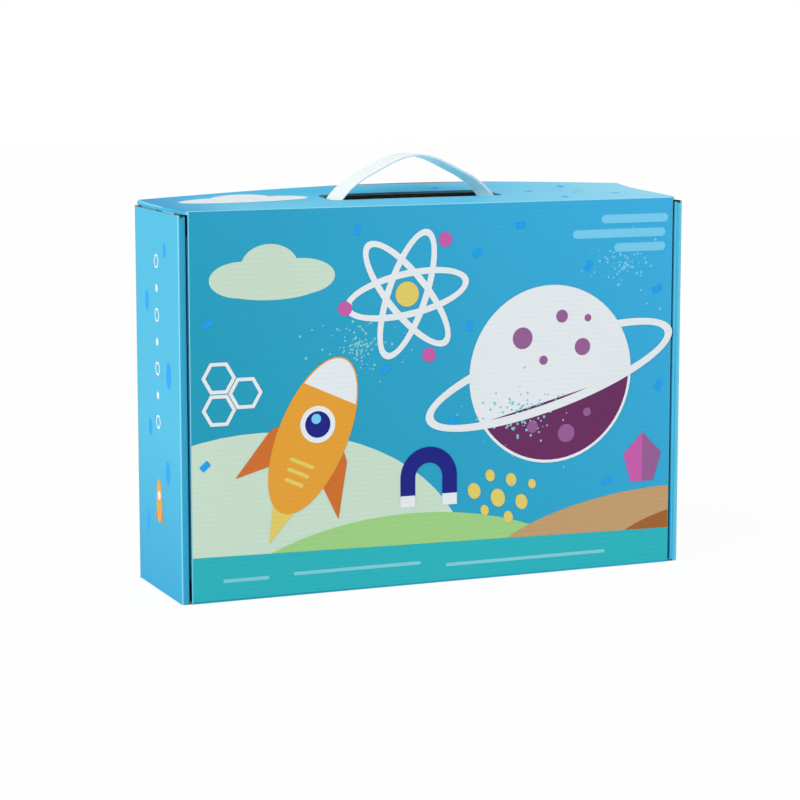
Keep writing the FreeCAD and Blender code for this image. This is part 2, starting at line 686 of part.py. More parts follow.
lens_hole = Part.makeCylinder(lens_radius + lens_slack, magnifier_ring_depth + 2 * overrun,
                              ring_start - towards_back * overrun, towards_back)
save("magnifier_frame", frame.cut(lens_hole).removeSplitter())
half_edge = lens_edge / 2
lens_pole = FreeCAD.Vector(0, half_edge + lens_bulge, 0)
lens_rim = FreeCAD.Vector(lens_radius, half_edge, 0)
bulge_radius = (lens_radius ** 2 + lens_bulge ** 2) / (2 * lens_bulge)
bulge_middle_drop = bulge_radius - math.sqrt(bulge_radius ** 2 - (lens_radius / 2) ** 2)
lens_between = FreeCAD.Vector(lens_radius / 2, half_edge + lens_bulge - bulge_middle_drop, 0)
half_outline = [Part.makeLine(FreeCAD.Vector(0, 0, 0), lens_pole),
                Part.Arc(lens_pole, lens_between, lens_rim).toShape(),
                Part.makeLine(lens_rim, FreeCAD.Vector(lens_radius, 0, 0)),
                Part.makeLine(FreeCAD.Vector(lens_radius, 0, 0), FreeCAD.Vector(0, 0, 0))]
half_lens = Part.Face(Part.Wire(half_outline)).revolve(FreeCAD.Vector(0, 0, 0), towards_back, full_turn)
lens = half_lens.fuse(half_lens.mirror(FreeCAD.Vector(0, 0, 0), towards_back)).removeSplitter()
lens.translate(lens_middle)
save("magnifier_lens", lens)

# Booklet, standing against the back panel in the last cell
booklet_left = cell_lefts[7] + finger_room / 2
booklet_back = back_inner - slip
cover_depth = booklet_pages_thickness + 2 * booklet_cover_thickness
cover = block(booklet_left, booklet_back - cover_depth, lower_floor,
              booklet_left + booklet_width, booklet_back, lower_floor + booklet_height)
page_left = booklet_left + booklet_cover_thickness
page_front = booklet_back - cover_depth + booklet_cover_thickness
page_back = booklet_back - booklet_cover_thickness
pages = block(page_left, page_front, lower_floor, booklet_left + booklet_width - booklet_page_set_in,
              page_back, lower_floor + booklet_height - booklet_page_set_in)
page_room = block(page_left, page_front, lower_floor - overrun, booklet_left + booklet_width + overrun,
                  page_back, lower_floor + booklet_height + overrun)
save("booklet_pages", pages)
save("booklet_cover", cover.cut(page_room))
print("carton", round(width, 2), round(depth, 2), round(height, 2))
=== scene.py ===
# %% [markdown]
# # A science kit in its carry carton
#
# The object is a flat carton of printed corrugated board that stands on its long narrow side, with a
# white strap handle on top and a set of apparatus in a cell divider inside. The CAD frame already has
# every board and every vessel at its true size, so this lesson gives them what CAD leaves out: the
# print, the kraft inside, the raw edges, the bow of the top flap and the look of each plastic.

# %% Load the frame
import bpy
import bmesh
import itertools
import math
import random
from mathutils import Matrix, Vector


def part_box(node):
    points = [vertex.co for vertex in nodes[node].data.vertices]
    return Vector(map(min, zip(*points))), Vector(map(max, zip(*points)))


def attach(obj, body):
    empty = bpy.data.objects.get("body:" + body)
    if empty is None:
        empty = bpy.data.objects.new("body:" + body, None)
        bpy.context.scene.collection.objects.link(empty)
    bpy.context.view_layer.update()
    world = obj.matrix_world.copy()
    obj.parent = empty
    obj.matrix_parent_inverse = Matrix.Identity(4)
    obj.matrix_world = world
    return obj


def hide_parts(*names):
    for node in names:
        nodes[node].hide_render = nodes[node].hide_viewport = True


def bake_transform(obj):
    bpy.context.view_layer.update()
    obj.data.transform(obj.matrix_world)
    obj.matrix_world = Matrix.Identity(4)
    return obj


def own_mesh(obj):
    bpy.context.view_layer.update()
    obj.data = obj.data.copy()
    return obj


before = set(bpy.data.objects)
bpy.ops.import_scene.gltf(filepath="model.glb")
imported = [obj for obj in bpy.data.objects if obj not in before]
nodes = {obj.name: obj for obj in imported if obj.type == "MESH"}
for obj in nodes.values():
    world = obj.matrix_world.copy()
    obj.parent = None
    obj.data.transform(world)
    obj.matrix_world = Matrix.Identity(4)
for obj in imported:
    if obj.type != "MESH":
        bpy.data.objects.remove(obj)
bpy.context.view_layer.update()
mm = 0.001

# %% [markdown]
# ## Camera
#
# The photo is taken from the left and a little above, with a long lens: the carton's upright edges stay
# nearly parallel. The angle, distance and lens come from fitting the carton's corners, so the camera is
# placed by an angle round the object instead of by typed coordinates.

# %% Place the camera
def stand(name, data):
    """Put a new object with this data in the scene."""
    made = bpy.data.objects.new(name, data)
    bpy.context.scene.collection.objects.link(made)
    return made


azimuth = math.radians(-22.717)
elevation = math.radians(8.429)
camera_target = Vector((-9.48, 0, 120.77)) * mm
camera_distance = 1776.38 * mm
towards_camera = Vector((math.sin(azimuth) * math.cos(elevation),
                         -math.cos(azimuth) * math.cos(elevation), math.sin(elevation)))
camera = stand("camera", bpy.data.cameras.new("camera"))
camera.data.lens = 114.91
camera.data.sensor_width = 36
camera.location = camera_target + towards_camera * camera_distance
camera.rotation_euler = (-towards_camera).to_track_quat("-Z", "Y").to_euler()
bpy.context.scene.camera = camera
bpy.context.scene.view_settings.view_transform = "Standard"
print("camera at", [round(value, 3) for value in camera.location])

# %% [markdown]
# ## Nodes for finishes
#
# A finish is a small tree of shader nodes. Writing the same three lines for every node hides the idea of
# the finish, so one helper adds a node and either links or sets each of its sockets.

# %% Helpers that wire a finish
def feed(tree, socket, value):
    """Link a socket to another one, or set it to a number or a colour."""
    if isinstance(value, bpy.types.NodeSocket):
        tree.links.new(value, socket)
    elif value is not None:
        socket.default_value = value


def add(tree, kind, *values, **settings):
    """Add a shader node, with its settings by name and its sockets in their order."""
    made = tree.nodes.new("ShaderNode" + kind)
    for key, value in settings.items():
        setattr(made, key, value)
    for socket, value in zip(made.inputs, values):
        feed(tree, socket, value)
    return made


def reckon(tree, operation, first, second=None):
    """Do one sum on two numbers of the tree."""
    return add(tree, "Math", first, second, operation=operation).outputs[0]


def spread(tree, value, gain, start):
    """A value times a gain, plus a start."""
    return add(tree, "Math", value, gain, start, operation="MULTIPLY_ADD").outputs[0]


def blend_colours(tree, share, first, second):
    """Go from the first colour to the second by a share."""
    made = tree.nodes.new("ShaderNodeMix")
    made.data_type = "RGBA"
    feed(tree, made.inputs[0], share)
    feed(tree, made.inputs[6], first)
    feed(tree, made.inputs[7], second)
    return made.outputs[2]


print("helpers: feed, add, reckon, spread and blend_colours")

# %% Helpers for patterns, relief and colours
def cloudiness(tree, place, scale, stretch=(1, 1, 1), detail=2.0):
    """A soft random pattern from 0 to 1, stretched along one way if asked."""
    mapping = add(tree, "Mapping", place)
    mapping.inputs["Scale"].default_value = stretch
    made = add(tree, "TexNoise", mapping.outputs[0])
    made.inputs["Scale"].default_value = scale
    made.inputs["Detail"].default_value = detail
    return made.outputs[0]


def ramp(tree, value, none_at, full_at):
    """A share that goes from 0 at one value to 1 at another, and stays there beyond them."""
    return add(tree, "MapRange", value, none_at, full_at).outputs[0]


def lighten(tree, colour, level):
    """Make a colour lighter or darker by a level near 1."""
    made = add(tree, "HueSaturation")
    feed(tree, made.inputs["Color"], colour)
    feed(tree, made.inputs["Value"], level)
    return made.outputs[0]


def emboss(tree, shader, height, distance, strength=1.0):
    """Give a finish its relief: a height, how far it stands out and how strongly it shows."""
    bump = add(tree, "Bump")
    bump.inputs["Strength"].default_value = strength
    bump.inputs["Distance"].default_value = distance
    feed(tree, bump.inputs["Height"], height)
    feed(tree, shader.inputs["Normal"], bump.outputs[0])


def within(tree, value, low, high):
    """1 where the value lies between two limits, else 0."""
    above = reckon(tree, "GREATER_THAN", value, low)
    below = reckon(tree, "LESS_THAN", value, high)
    return reckon(tree, "MULTIPLY", above, below)


def tint(red, green, blue):
    """Turn a colour as a screen shows it, 0 to 255, into the linear one that a shader takes."""
    linear = []
    for level in (red, green, blue):
        share = level / 255
        linear.append(share / 12.92 if share <= 0.04045 else ((share + 0.055) / 1.055) ** 2.4)
    return (*linear, 1.0)


def start_finish(name):
    """Begin a finish: give its material, tree, shader and the object's own coordinates."""
    made = bpy.data.materials.new(name)
    made.use_nodes = True
    tree = made.node_tree
    shader = tree.nodes["Principled BSDF"]
    return made, tree, shader, add(tree, "TexCoord").outputs["Object"]


print("tint check:", [round(level, 3) for level in tint(55, 170, 209)[:3]])

# %% [markdown]
# ## Studio
#
# The photo is a cut-out on white, lit softly from the left: the side wall is lighter than the front. A
# pale floor, a white world and one wide sun from the left give that, with painted light in the board's
# ground colour on top. Only the camera, and rays that mirror or pass through, see the background as full
# white, so the object isn't flooded with light.

# %% Floor, world and lamp
def seen_rays(tree):
    """1 for rays that show the background itself: camera, glossy and transmission rays."""
    rays = add(tree, "LightPath").outputs
    shown = reckon(tree, "MAXIMUM", rays["Is Camera Ray"], rays["Is Glossy Ray"])
    return reckon(tree, "MAXIMUM", shown, rays["Is Transmission Ray"])


def mesh_of(name, work):
    """Turn a bmesh into a mesh."""
    mesh = bpy.data.meshes.new(name)
    work.to_mesh(mesh)
    work.free()
    return mesh


floor_half = 6.0
floor_drop = 0.2 * mm
floor_work = bmesh.new()
bmesh.ops.create_grid(floor_work, x_segments=8, y_segments=8, size=floor_half)
bmesh.ops.translate(floor_work, vec=(0, 0, -floor_drop), verts=floor_work.verts)
floor = stand("floor", mesh_of("floor", floor_work))

floor_finish = bpy.data.materials.new("pale_floor")
floor_finish.use_nodes = True
floor_tree = floor_finish.node_tree
floor_tree.nodes.clear()
floor_matt = add(floor_tree, "BsdfDiffuse", (0.90, 0.90, 0.90, 1))
floor_white = add(floor_tree, "Emission", (1, 1, 1, 1), 1.0)
floor_share = reckon(floor_tree, "MULTIPLY", seen_rays(floor_tree), 0.95)
floor_mix = add(floor_tree, "MixShader", floor_share, floor_matt.outputs[0], floor_white.outputs[0])
add(floor_tree, "OutputMaterial", floor_mix.outputs[0])
floor.data.materials.append(floor_finish)

world = bpy.data.worlds.new("studio")
bpy.context.scene.world = world
world.use_nodes = True
world_tree = world.node_tree
world_tree.nodes.clear()
world_soft = add(world_tree, "Background", (1, 1, 1, 1), 0.55)
world_white = add(world_tree, "Background", (1, 1, 1, 1), 1.0)
world_mix = add(world_tree, "MixShader", seen_rays(world_tree), world_soft.outputs[0], world_white.outputs[0])
add(world_tree, "OutputWorld", world_mix.outputs[0])

sun = stand("sun", bpy.data.lights.new("sun", "SUN"))
sun.data.energy = 2.2
sun.data.angle = math.radians(55)
sun_way = Vector((-0.72, -0.40, 0.57))
sun.rotation_euler = (-sun_way).to_track_quat("-Z", "Y").to_euler()
print("stage: floor, world and sun")

# %% [markdown]
# ## Board finishes
#
# Corrugated board has three looks: the printed outside under a thin film, the brown kraft inside, and
# the raw edge, where the wavy middle layer shows. On the print the flutes telegraph through as faint
# level lines, so the bump follows Z on upright panels and Y on lying ones, chosen by the face's normal.
# The hollow of the side walls lies in shadow, so its kraft and its raw edges are darker, as painted shade.
# The wall of the handle slot gets grey-blue edges: painted shade with blue light from the print around it.

# %% The printed outside
flute_pitch = 3.4 * mm
flute_swell = 0.035 * mm


def flute_lines(tree, place):
    """The washboard of the flutes, from -1 to 1."""
    parts = add(tree, "SeparateXYZ", place).outputs
    normal = add(tree, "SeparateXYZ", add(tree, "TexCoord").outputs["Normal"]).outputs
    lying = reckon(tree, "GREATER_THAN", reckon(tree, "ABSOLUTE", normal["Z"]), 0.7)
    upright = reckon(tree, "SUBTRACT", 1.0, lying)
    across = reckon(tree, "ADD", reckon(tree, "MULTIPLY", parts["Z"], upright),
                    reckon(tree, "MULTIPLY", parts["Y"], lying))
    return reckon(tree, "SINE", reckon(tree, "MULTIPLY", across, 2 * math.pi / flute_pitch))


def print_surface(tree, shader, place, colour):
    """Finish a printed face: ink grain, flute lines and the gloss of the film."""
    grain = cloudiness(tree, place, 1400, detail=3.0)
    drift = cloudiness(tree, place, 9)
    level = spread(tree, grain, 0.10, spread(tree, drift, 0.08, 0.91))
    feed(tree, shader.inputs["Base Color"], lighten(tree, colour, level))
    feed(tree, shader.inputs["Roughness"], spread(tree, drift, 0.12, 0.44))
    emboss(tree, shader, spread(tree, grain, 0.5, flute_lines(tree, place)), flute_swell)
    shader.inputs["Specular IOR Level"].default_value = 0.08
    shader.inputs["Coat Roughness"].default_value = 0.25


print("flutes every", round(flute_pitch / mm, 2), "mm")

# %% The colours of the ground
fold_start = 178.5 * mm
fold_end = 182.5 * mm


def crease_share(tree, normal):
    """From 0 on flat board to 1 on the middle of a rounded fold, where the face looks two ways at once."""
    sizes = [reckon(tree, "ABSOLUTE", normal[way]) for way in "XYZ"]
    pairs = [reckon(tree, "MULTIPLY", *pair) for pair in itertools.combinations(sizes, 2)]
    both = reckon(tree, "MAXIMUM", reckon(tree, "MAXIMUM", pairs[0], pairs[1]), pairs[2])
    return ramp(tree, both, 0.15, 0.45)


def ground_finish():
    """The carton's ground, teal to sky blue over the lid, with painted light on the walls, top and folds."""
    made, tree, shader, place = start_finish("printed_ground")
    parts = add(tree, "SeparateXYZ", place).outputs
    normal = add(tree, "SeparateXYZ", add(tree, "TexCoord").outputs["Normal"]).outputs
    slope = spread(tree, parts["X"], 1.7, reckon(tree, "MULTIPLY", parts["Z"], 1.5))
    share = ramp(tree, slope, -0.25, 0.65)
    colour = blend_colours(tree, share, tint(30, 152, 176), tint(60, 174, 224))
    aside = reckon(tree, "ABSOLUTE", parts["X"])
    # Painted shade: the left fold is darker than the right one; both get lighter towards their outer edge.
    outer_fold = ramp(tree, aside, 179.5 * mm, 183 * mm)
    right_fold = blend_colours(tree, outer_fold, tint(66, 174, 212), tint(88, 194, 228))
    shaded_left_fold = blend_colours(tree, outer_fold, tint(48, 156, 196), tint(52, 164, 204))
    on_right = reckon(tree, "GREATER_THAN", parts["X"], 0.0)
    fold_colour = blend_colours(tree, on_right, shaded_left_fold, right_fold)
    colour = blend_colours(tree, reckon(tree, "GREATER_THAN", aside, fold_start), colour, fold_colour)
    # Painted light: faces that look sideways get a lighter wall colour, darker towards the bottom.
    sideways = ramp(tree, reckon(tree, "ABSOLUTE", normal["X"]), 0.3, 0.8)
    low_down = ramp(tree, parts["Z"], 110 * mm, 0.0)
    lit_wall_colour = blend_colours(tree, low_down, tint(76, 183, 217), tint(42, 160, 202))
    colour = blend_colours(tree, sideways, colour, lit_wall_colour)
    # Painted light: faces that look up get a lighter top colour, with a painted sheen to the right and darker
    # towards the back and the far left.
    to_back = ramp(tree, parts["Y"], -30 * mm, 30 * mm)
    lit_top_colour = blend_colours(tree, to_back, tint(90, 194, 230), tint(52, 181, 222))
    to_left = ramp(tree, parts["X"], -140 * mm, -180 * mm)
    lit_top_colour = blend_colours(tree, to_left, lit_top_colour, tint(16, 152, 203))
    to_right = ramp(tree, parts["X"], 20 * mm, 170 * mm)
    lit_top_colour = blend_colours(tree, to_right, lit_top_colour, tint(138, 214, 240))
    upward = ramp(tree, normal["Z"], 0.3, 0.8)
    colour = blend_colours(tree, upward, colour, lit_top_colour)
    # Painted highlight: rounded folds are lightened, except on the inner folds of the side walls.
    on_inner_fold = within(tree, aside, fold_start, fold_end)
    highlight_most = spread(tree, on_inner_fold, -0.7, 0.7)
    painted_fold_highlight = reckon(tree, "MULTIPLY", crease_share(tree, normal), highlight_most)
    print_surface(tree, shader, place, blend_colours(tree, painted_fold_highlight, colour, tint(150, 226, 246)))
    return made


printed_ground = ground_finish()
print("finish:", printed_ground.name)

# %% Kraft inside and raw edge
fibre_swell = 0.05 * mm
torn_swell = 0.2 * mm
along_board = (0.25, 1, 1)
up_plate = (1, 1, 0.3)


def kraft_finish(name, colour, speck_colour, fibre_stretch):
    """Uncoated board: long pale fibres, dark specks and a dry surface."""
    made, tree, shader, place = start_finish(name)
    fibre = cloudiness(tree, place, 300, fibre_stretch, 4.0)
    specks = reckon(tree, "GREATER_THAN", cloudiness(tree, place, 900), 0.69)
    base = lighten(tree, colour, spread(tree, fibre, 0.35, 0.82))
    flecked = blend_colours(tree, reckon(tree, "MULTIPLY", specks, 0.45), base, speck_colour)
    feed(tree, shader.inputs["Base Color"], flecked)
    feed(tree, shader.inputs["Roughness"], spread(tree, fibre, 0.15, 0.78))
    emboss(tree, shader, spread(tree, flute_lines(tree, place), 0.35, fibre), fibre_swell, 0.6)
    return made


kraft_inside = kraft_finish("kraft_inside", tint(190, 152, 110), tint(120, 84, 52), along_board)
# Painted shade: a dark kraft for the shadow in the hollow of the side walls.
shaded_hollow_kraft = kraft_finish("shaded_hollow_kraft", tint(58, 46, 36), tint(34, 26, 20), along_board)
divider_board = kraft_finish("divider_board", tint(222, 216, 204), tint(168, 150, 126), up_plate)


def edge_finish(name, hollow_colour, liner_colour):
    """A cut edge: two pale liners with the shadowed waves of the fluting between them."""
    made, tree, shader, place = start_finish(name)
    waves = reckon(tree, "ABSOLUTE", flute_lines(tree, place))
    torn = cloudiness(tree, place, 700, detail=4.0)
    depth = reckon(tree, "MULTIPLY", waves, torn)
    colour = blend_colours(tree, depth, hollow_colour, liner_colour)
    feed(tree, shader.inputs["Base Color"], colour)
    shader.inputs["Roughness"].default_value = 0.9
    emboss(tree, shader, torn, torn_swell)
    return made


raw_edge = edge_finish("raw_edge", tint(112, 82, 58), tint(186, 156, 122))
# Painted shade: darker raw edges for the side walls, which lie in shadow.
shaded_wall_edge = edge_finish("shaded_wall_edge", tint(66, 56, 48), tint(128, 112, 96))
# Painted shade: grey-blue edges for the handle slot, standing for its shadow and the blue light from the
# print.
shaded_slot_edge = edge_finish("shaded_slot_edge", tint(70, 118, 138), tint(100, 150, 166))
made_finishes = (kraft_inside, shaded_hollow_kraft, divider_board, raw_edge, shaded_wall_edge, shaded_slot_edge)
print("finishes:", [finish.name for finish in made_finishes])

# %% [markdown]
# ## Carton boards
#
# Each board of the carton is a CAD plate. Its faces need different finishes, and ink needs a hair of
# room in front of the printed face, so each plate is copied: the copy's loose triangles are merged, its
# printed face is sunk by a hair, and each face gets print, kraft or raw edge by the way that it looks.
# The CAD plate stays in the frame for the motion.

# %% Copy a board and sort its faces
board_finishes = (printed_ground, kraft_inside, raw_edge, shaded_slot_edge)
wall_finishes = (printed_ground, shaded_hollow_kraft, shaded_wall_edge)
wall_sink = 0.15 * mm
same_point = 0.002 * mm
ways = {"left": Vector((-1, 0, 0)), "right": Vector((1, 0, 0)), "front": Vector((0, -1, 0)),
        "back": Vector((0, 1, 0)), "up": Vector((0, 0, 1)), "down": Vector((0, 0, -1))}


def merged_copy(node):
    """A bmesh of a CAD node with its loose triangles joined."""
    work = bmesh.new()
    work.from_mesh(nodes[node].data)
    bmesh.ops.remove_doubles(work, verts=work.verts, dist=same_point)
    return work


def sort_faces(work, print_ways, kraft_ways):
    """Give each face print, kraft or raw edge by its normal."""
    for face in work.faces:
        face.normal_update()
        if max(face.normal.dot(ways[way]) for way in print_ways) > 0.3:
            face.material_index = 0
        elif max(face.normal.dot(ways[way]) for way in kraft_ways) > 0.7:
            face.material_index = 1
        else:
            face.material_index = 2


def show(name, work, finishes, body, slot, *stands_for):
    """Turn a bmesh into a piece, which rides on a body if one is named, and may stand for CAD nodes."""
    mesh = mesh_of(name, work)
    for finish in finishes:
        mesh.materials.append(finish)
    mesh.shade_smooth()
    mesh.set_sharp_from_angle(angle=math.radians(40))
    piece = stand(name, mesh)
    even = piece.modifiers.new("even_normals", "WEIGHTED_NORMAL")
    even.keep_sharp = True
    if body:
        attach(piece, body)
    if stands_for:
        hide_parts(*stands_for)
    return piece


print("boards take", len(board_finishes), "finishes, walls", len(wall_finishes))

# %% Dress the carton's boards
def dress_board(node, body, print_ways, kraft_ways, sink_way=None, reshape=None, finishes=board_finishes):
    """Copy a CAD board, sink its printed face, sort its faces and, if it is sprung, bend it."""
    work = merged_copy(node)
    sort_faces(work, print_ways, kraft_ways)
    if sink_way:
        out = ways[sink_way]
        outermost = max(vertex.co.dot(out) for vertex in work.verts)
        for vertex in work.verts:
            if vertex.co.dot(out) > outermost - wall_sink:
                vertex.co -= out * wall_sink
    if reshape:
        # Painted shade: cut edges that look to the front behind the middle, the back of the notch under the
        # slot, get the shaded slot edge.
        for face in work.faces:
            if face.normal.dot(ways["front"]) > 0.3 and face.calc_center_median().y > 0:
                face.material_index = 3
        cut_to_bend(work, mm)
        for vertex in work.verts:
            vertex.co.z += reshape(vertex.co.x, vertex.co.y)
    return show(node + "_dressed", work, finishes, body, "printed_board", node)


dress_board("back_panel", "tray", ["back", "left", "right", "up", "down"], ["front"], "back")
dress_board("bottom_wall", "tray", ["down"], ["up"])
for side, other in (("left", "right"), ("right", "left")):
    dress_board("outer_wall_" + side, "tray", [side, "front"], [other], side, finishes=wall_finishes)
    dress_board("wall_fold_" + side, "tray", ["front"], ["back", "left", "right"], finishes=wall_finishes)
    dress_board("inner_wall_" + side, "tray", [other, "front"], [side], finishes=wall_finishes)
    dress_board("corner_flap_bottom_" + side, "tray", [side], [other])
    dress_board("corner_flap_top_" + side, "tray", [side, "up"], [other])
    dress_board("dust_flap_" + side, "dust_flap_" + side, [side], [other])
print("carton boards dressed")

# %% [markdown]
# ## Lid
#
# The lid is one panel between four creases. At its top crease the outer liner runs on over the corner to
# the tuck flap, so the panel's front skin is extruded a little past the CAD edge, to the crease line.
# Then no dark line splits the print when the lid is shut.

# %% Build the lid panel
lid_low, lid_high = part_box("lid_panel")
flap_low, flap_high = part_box("tuck_flap")
lid_sink = 0.40 * mm
skin = 0.30 * mm
skin_drop = 0.55 * mm
fold_radius = 1.0 * mm
side_radius = 0.9 * mm
touch = 0.1 * mm
lid_face = lid_low.y + lid_sink


def box_mesh(low, high):
    """A box of six faces between two corners, to cut, extrude and bevel."""
    work = bmesh.new()
    bmesh.ops.create_cube(work, size=1)
    bmesh.ops.scale(work, vec=high - low, verts=work.verts)
    bmesh.ops.translate(work, vec=(low + high) / 2, verts=work.verts)
    return work


def all_of(work):
    """Every vertex, edge and face, as the cutting operators want them."""
    return work.verts[:] + work.edges[:] + work.faces[:]


def verts_of(made):
    """The vertices among what an operator made."""
    return [item for item in made["geom"] if isinstance(item, bmesh.types.BMVert)]


def round_edges(work, radius, segments, choose):
    """Round the edges that the choice picks by their middle and way."""
    picked = []
    for edge in work.edges:
        middle = (edge.verts[0].co + edge.verts[1].co) / 2
        along = (edge.verts[1].co - edge.verts[0].co).normalized()
        if choose(middle, along):
            picked.append(edge)
    bmesh.ops.bevel(work, geom=picked, offset=radius, segments=segments, profile=0.5,
                    affect="EDGES", material=-1)


lid = box_mesh(Vector((lid_low.x, lid_face, lid_low.z)), lid_high)
bmesh.ops.bisect_plane(lid, geom=all_of(lid), plane_co=(0, lid_face + skin, 0), plane_no=(0, 1, 0))
skin_top = []
for face in lid.faces:
    if face.normal.z > 0.9 and face.calc_center_median().y < lid_face + skin:
        skin_top.append(face)
raised = bmesh.ops.extrude_face_region(lid, geom=skin_top)
bmesh.ops.delete(lid, geom=skin_top, context="FACES_ONLY")
skin_rise = flap_high.z - skin_drop - lid_high.z
bmesh.ops.translate(lid, vec=(0, 0, skin_rise), verts=verts_of(raised))
round_edges(lid, fold_radius, 4, lambda middle, along: middle.z < touch and middle.y < lid_face + touch)
round_edges(lid, side_radius, 4, lambda middle, along: abs(middle.x) > lid_high.x - touch
            and middle.y < lid_face + touch and abs(along.z) > 0.9)
bmesh.ops.recalc_face_normals(lid, faces=lid.faces)
sort_faces(lid, ["front", "left", "right", "down"], ["back"])
show("lid_panel_dressed", lid, board_finishes, "lid", "printed_board", "lid_panel")
print("lid face at", round(lid_face / mm, 2), "mm, skin rise", round(skin_rise / mm, 2), "mm")

# %% [markdown]
# ## Tuck flap
#
# The flap's ears are caught in the side walls, and the board between them is under pressure, so its free
# back edge bows up by several millimetres while the front crease stays straight. The flap starts as two
# loops, its outline and the handle slot, which are bridged. Parallel cuts then give it enough vertices
# to bend, and one lift function bends the flap, its ink and the top wall under it together.

# %% The bow of the flap
crease_room = 0.08 * mm
flap_front = flap_low.y + lid_sink + skin + crease_room
end_lift = 2.9 * mm
end_difference = 1.3 * mm
middle_lift = 5.5 * mm


def flap_lift(x, y):
    """How far the flap stands above its CAD place: a first rise, a flatter middle and a curling edge."""
    depth = max(0.0, (y - flap_front) / (flap_high.y - flap_front))
    across = max(-1.0, min(1.0, x / flap_high.x))
    edge_lift = end_lift + end_difference * across + middle_lift * math.cos(across * math.pi / 2)
    return edge_lift * depth * (1.2 - 2.1 * depth + 1.9 * depth ** 2)


for share in (-1, -0.5, 0, 0.5, 1):
    print("lift at the back edge:", round(flap_lift(flap_high.x * share, flap_high.y) / mm, 2), "mm")

# %% Build the flap
slot_corner = 6.0 * mm
slot_half = Vector((64.0, 16.0)) * mm
slot_middle = 3.5 * mm
loop_count = 96
ear_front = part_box("tuck_ear_left")[0].y
flap_corner = 0.8 * mm
flap_end = [(lid_high.x, flap_front),
            (lid_high.x + 2.4 * mm, flap_front + 3.0 * mm),
            (flap_high.x, ear_front)]


def rounded_loop(work, half, corner, middle, z):
    """A loop of edges in the shape of a rectangle with round corners."""
    loop = bmesh.ops.create_circle(work, cap_ends=False, segments=loop_count, radius=1)["verts"]
    turn = Matrix.Rotation(math.pi / loop_count, 3, "Z")
    bmesh.ops.rotate(work, cent=(0, 0, 0), matrix=turn, verts=loop)
    for vertex in loop:
        unit = vertex.co.copy()
        vertex.co.x = math.copysign(half[0] - corner, unit.x) + corner * unit.x
        vertex.co.y = math.copysign(half[1] - corner, unit.y) + corner * unit.y + middle
        vertex.co.z = z
    return loop


def flap_reach(y):
    """Half the flap's width at a depth: it widens from the lid's corner to the ear."""
    for (near_x, near_y), (far_x, far_y) in zip(flap_end, flap_end[1:]):
        if y < far_y:
            return near_x + (far_x - near_x) * max(0.0, y - near_y) / (far_y - near_y)
    return flap_high.x


flap = bmesh.new()
flap_half = Vector((flap_high.x, (flap_high.y - flap_front) / 2))
rounded_loop(flap, flap_half, flap_corner, (flap_high.y + flap_front) / 2, flap_low.z)
rounded_loop(flap, slot_half, slot_corner, slot_middle, flap_low.z)
bmesh.ops.bridge_loops(flap, edges=flap.edges[:])
for side in (-1, 1):
    for near, far in zip(flap_end, flap_end[1:]):
        out = Vector((side * (far[1] - near[1]), near[0] - far[0], 0))
        start = (side * near[0], near[1], 0)
        bmesh.ops.bisect_plane(flap, geom=all_of(flap), plane_co=start, plane_no=out, clear_outer=True)
bmesh.ops.recalc_face_normals(flap, faces=flap.faces)
if flap.faces[:][0].normal.z > 0:
    bmesh.ops.reverse_faces(flap, faces=flap.faces[:])
grown = bmesh.ops.extrude_face_region(flap, geom=flap.faces[:])
bmesh.ops.translate(flap, vec=(0, 0, flap_high.z - flap_low.z), verts=verts_of(grown))
bmesh.ops.recalc_face_normals(flap, faces=flap.faces)
print("flap board:", len(flap.faces), "faces before the cuts")

# %% Round, cut and bend the flap
def cut_across(work, way, first, last, step):
    """Cut a mesh by parallel planes, so that it has vertices to bend at."""
    place = first
    while place < last:
        bmesh.ops.bisect_plane(work, geom=all_of(work), plane_co=way * place, plane_no=way)
        place += step


def cut_to_bend(work, unit, closer=1):
    """Cut a board or its ink, drawn in some unit, across and along, so that both can follow the bow."""
    cut_across(work, ways["right"], -180 * unit, 181 * unit, 9 * closer * unit)
    cut_across(work, ways["back"], -44 * unit, 46 * unit, 5 * closer * unit)


wall_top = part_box("outer_wall_left")[1].z
front_zone = 0.5 * mm
edge_zone = 0.3 * mm
end_zone = 0.2 * mm
bare_strip = 2.2 * mm
bare_middle = 18 * mm
bare_half = 81 * mm


def bare_width(x):
    """The strip along the back edge where the print has worn off: widest in the middle, gone at its ends."""
    return bare_strip * max(0.05, 1 - ((x - bare_middle) / bare_half) ** 2)


def in_slot(point):
    """True for a point on the wall of the handle slot."""
    return abs(point.x) < slot_half[0] + touch and abs(point.y - slot_middle) < slot_half[1] + touch


round_edges(flap, fold_radius, 4, lambda middle, along: middle.z > flap_high.z - touch
            and (middle.y < flap_front + front_zone or abs(middle.x) > flap_reach(middle.y) - edge_zone)
            and not in_slot(middle))
cut_to_bend(flap, mm)
bare_line = flap_high.y - bare_strip
bmesh.ops.bisect_plane(flap, geom=all_of(flap), plane_co=ways["back"] * bare_line, plane_no=ways["back"])
for vertex in flap.verts:
    if abs(vertex.co.y - bare_line) < 5 * same_point:
        vertex.co.y = flap_high.y - bare_width(vertex.co.x)
sort_faces(flap, ["up", "front", "left", "right"], ["down"])
for face in flap.faces:
    middle = face.calc_center_median()
    # Painted shade: the wall of the handle slot gets the shaded slot edge.
    if abs(face.normal.z) < 0.5 and in_slot(middle):
        face.material_index = 3
    if middle.y > flap_high.y - bare_width(middle.x) and abs(middle.x - bare_middle) < bare_half:
        face.material_index = 2
for vertex in flap.verts:
    at_end = abs(vertex.co.x) > flap_reach(vertex.co.y) - end_zone
    under_end = at_end and vertex.co.z < flap_low.z + end_zone
    if not under_end:
        vertex.co.z += flap_lift(vertex.co.x, vertex.co.y)
    elif vertex.co.y < ear_front:
        vertex.co.z = wall_top + touch
print("flap:", len(flap.faces), "faces")

